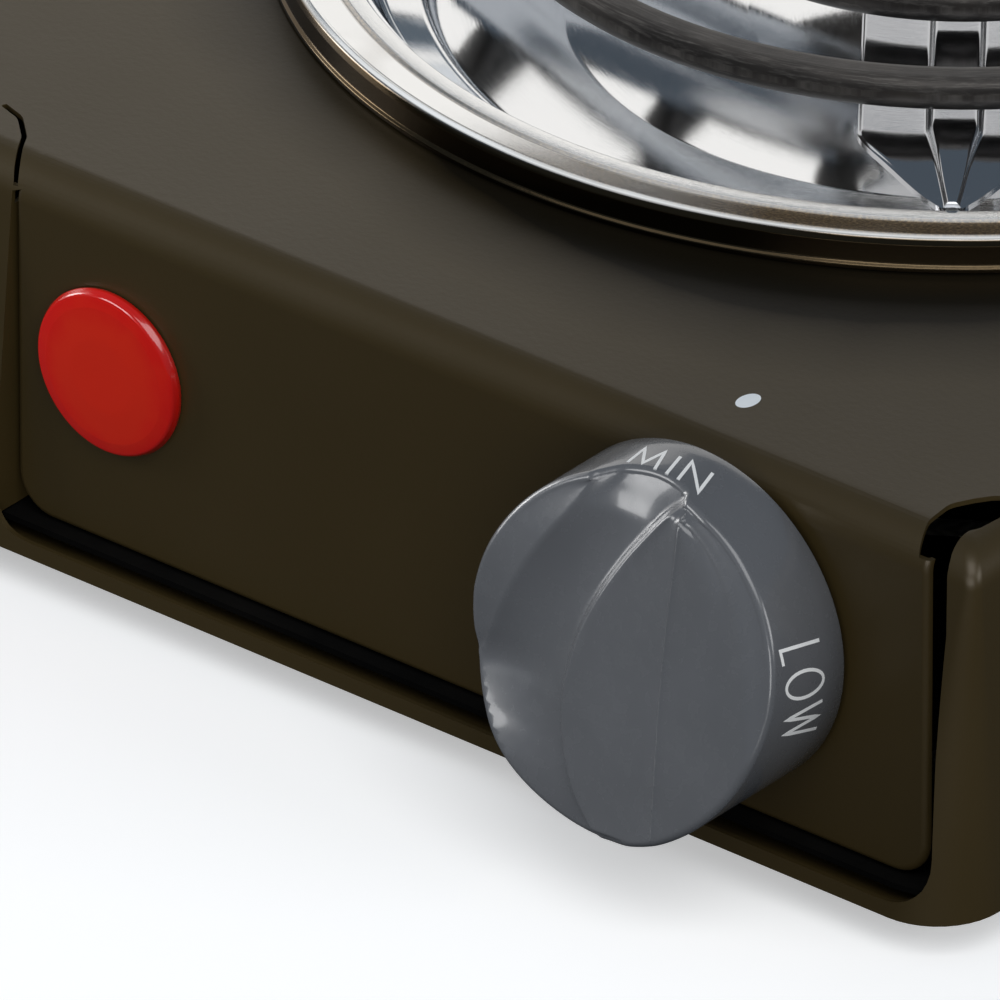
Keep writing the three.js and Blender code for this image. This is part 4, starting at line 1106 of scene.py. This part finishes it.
# ---------- floor, light and camera, in metres ----------
def floor_plane(name, z, shade, glow=0.0):
    """A level plane, 6 m across, that only scatters light and may glow a little."""
    plane = mesh_from(name, [(-3, -3, z), (3, -3, z), (3, 3, z), (-3, 3, z)], [(0, 1, 2, 3)])
    shader = Shader(name, shade, 0.9, Specular_IOR_Level=0.0, Emission_Color=(1, 1, 1, 1),
                    Emission_Strength=glow)
    plane.data.materials.append(shader.material)
    return plane


# the pale floor that is seen, and a darker one under it that the object is lit by and reflects
floor = floor_plane("floor", 0, (0.88, 0.88, 0.88), 0.45)
floor.visible_glossy = False
floor.visible_diffuse = False
under = floor_plane("floor_under", -0.0004, (0.33, 0.33, 0.33))
under.visible_camera = False

world = bpy.data.worlds.new("studio")
bpy.context.scene.world = world
world.use_nodes = True
background = world.node_tree.nodes["Background"]
background.inputs["Color"].default_value = (0.66, 0.82, 1.0, 1)
background.inputs["Strength"].default_value = 0.17


def soft_light(name, direction, distance, width, height, radiance, only=(), about=(0, 0, 0.05)):
    """A soft box that faces a spot from a direction; only lists the pieces it lights, if not all."""
    data = bpy.data.lights.new(name, "AREA")
    data.shape = "RECTANGLE"
    data.size = width
    data.size_y = height
    data.energy = radiance * math.pi * width * height
    lamp = new_object(name, data)
    lamp.location = Vector(direction).normalized() * distance + Vector(about)
    lamp.rotation_mode = "QUATERNION"
    lamp.rotation_quaternion = Vector(direction).to_track_quat("Z", "Y")
    lamp.visible_camera = False
    if only:
        lit = bpy.data.collections.new(name + "_objects")
        for piece in only:
            lit.objects.link(piece)
        lamp.light_linking.receiver_collection = lit


def soft_wall(name, radius, start, end, top, radiance):
    """A low glowing wall, part of a cylinder round the object."""
    low_row = [(x, y, 0.004) for x, y in arc(0, 0, radius, start, end, 48)]
    high_row = [(x, y, top) for x, y, _ in low_row]
    count = len(low_row)
    wall = mesh_from(name, low_row + high_row, band(range(count), range(count, 2 * count)))
    shader = Shader(name, (0, 0, 0), 1.0, Specular_IOR_Level=0.0,
                    Emission_Color=(1.0, 0.985, 0.965, 1), Emission_Strength=radiance)
    wall.data.materials.append(shader.material)
    wall.visible_camera = False
    wall.visible_shadow = False


soft_wall("soft_wall", 1.25, 95, 208, 0.84, 0.98)
soft_light("camera_softbox", (0.50, -0.52, 0.80), 1.7, 1.3, 1.0, 3.0)
soft_light("key_softbox", (-0.90, -0.30, 0.24), 1.15, 0.42, 0.34, 7.0)
soft_light("side_softbox", (0.95, 0.12, 0.30), 1.6, 0.8, 0.6, 4.4)
soft_light("front_softbox", (0.55, -0.85, 0.12), 1.4, 1.1, 0.34, 4.4, [housing])
KNOB_SPOT = CENTRE + Vector((KNOB_X, FRONT_Y - 20, KNOB_Z)) * MM
soft_light("knob_front_softbox", (0.62, -0.78, 0.10), 1.2, 0.40, 0.34, 5.0, [knob], KNOB_SPOT)
soft_light("knob_top_softbox", (-0.48, -0.79, 0.38), 1.2, 0.56, 0.42, 6.5, [knob, lens], KNOB_SPOT)
soft_light("knob_side_softbox", (-0.93, -0.38, 0.10), 1.2, 0.36, 0.30, 5.0, [knob], KNOB_SPOT)
soft_light("bowl_softbox", (-0.1, 0.15, 1.0), 1.3, 2.4, 2.0, 0.75, [drip_bowl, trim_ring, coil])

RIGHT = Vector((0.7705, 0.6374, 0))
UP = Vector((-0.3187, 0.3852, 0.8660))
BACK = RIGHT.cross(UP)
CAMERA_DISTANCE = 6.0
FRAME_WIDTH = 0.14706
AIM = CENTRE - RIGHT * 0.0691 - UP * 0.0853 + BACK * 0.09
camera_data = bpy.data.cameras.new("camera")
camera_data.sensor_width = 36.0
camera_data.lens = camera_data.sensor_width * CAMERA_DISTANCE / FRAME_WIDTH
camera_data.clip_start = 0.1
camera_data.clip_end = 30.0
camera = new_object("camera", camera_data)
camera.location = AIM + BACK * CAMERA_DISTANCE
camera.rotation_mode = "QUATERNION"
camera.rotation_quaternion = Matrix((RIGHT, UP, BACK)).transposed().to_quaternion()
bpy.context.scene.camera = camera
bpy.context.scene.view_settings.view_transform = "Standard"
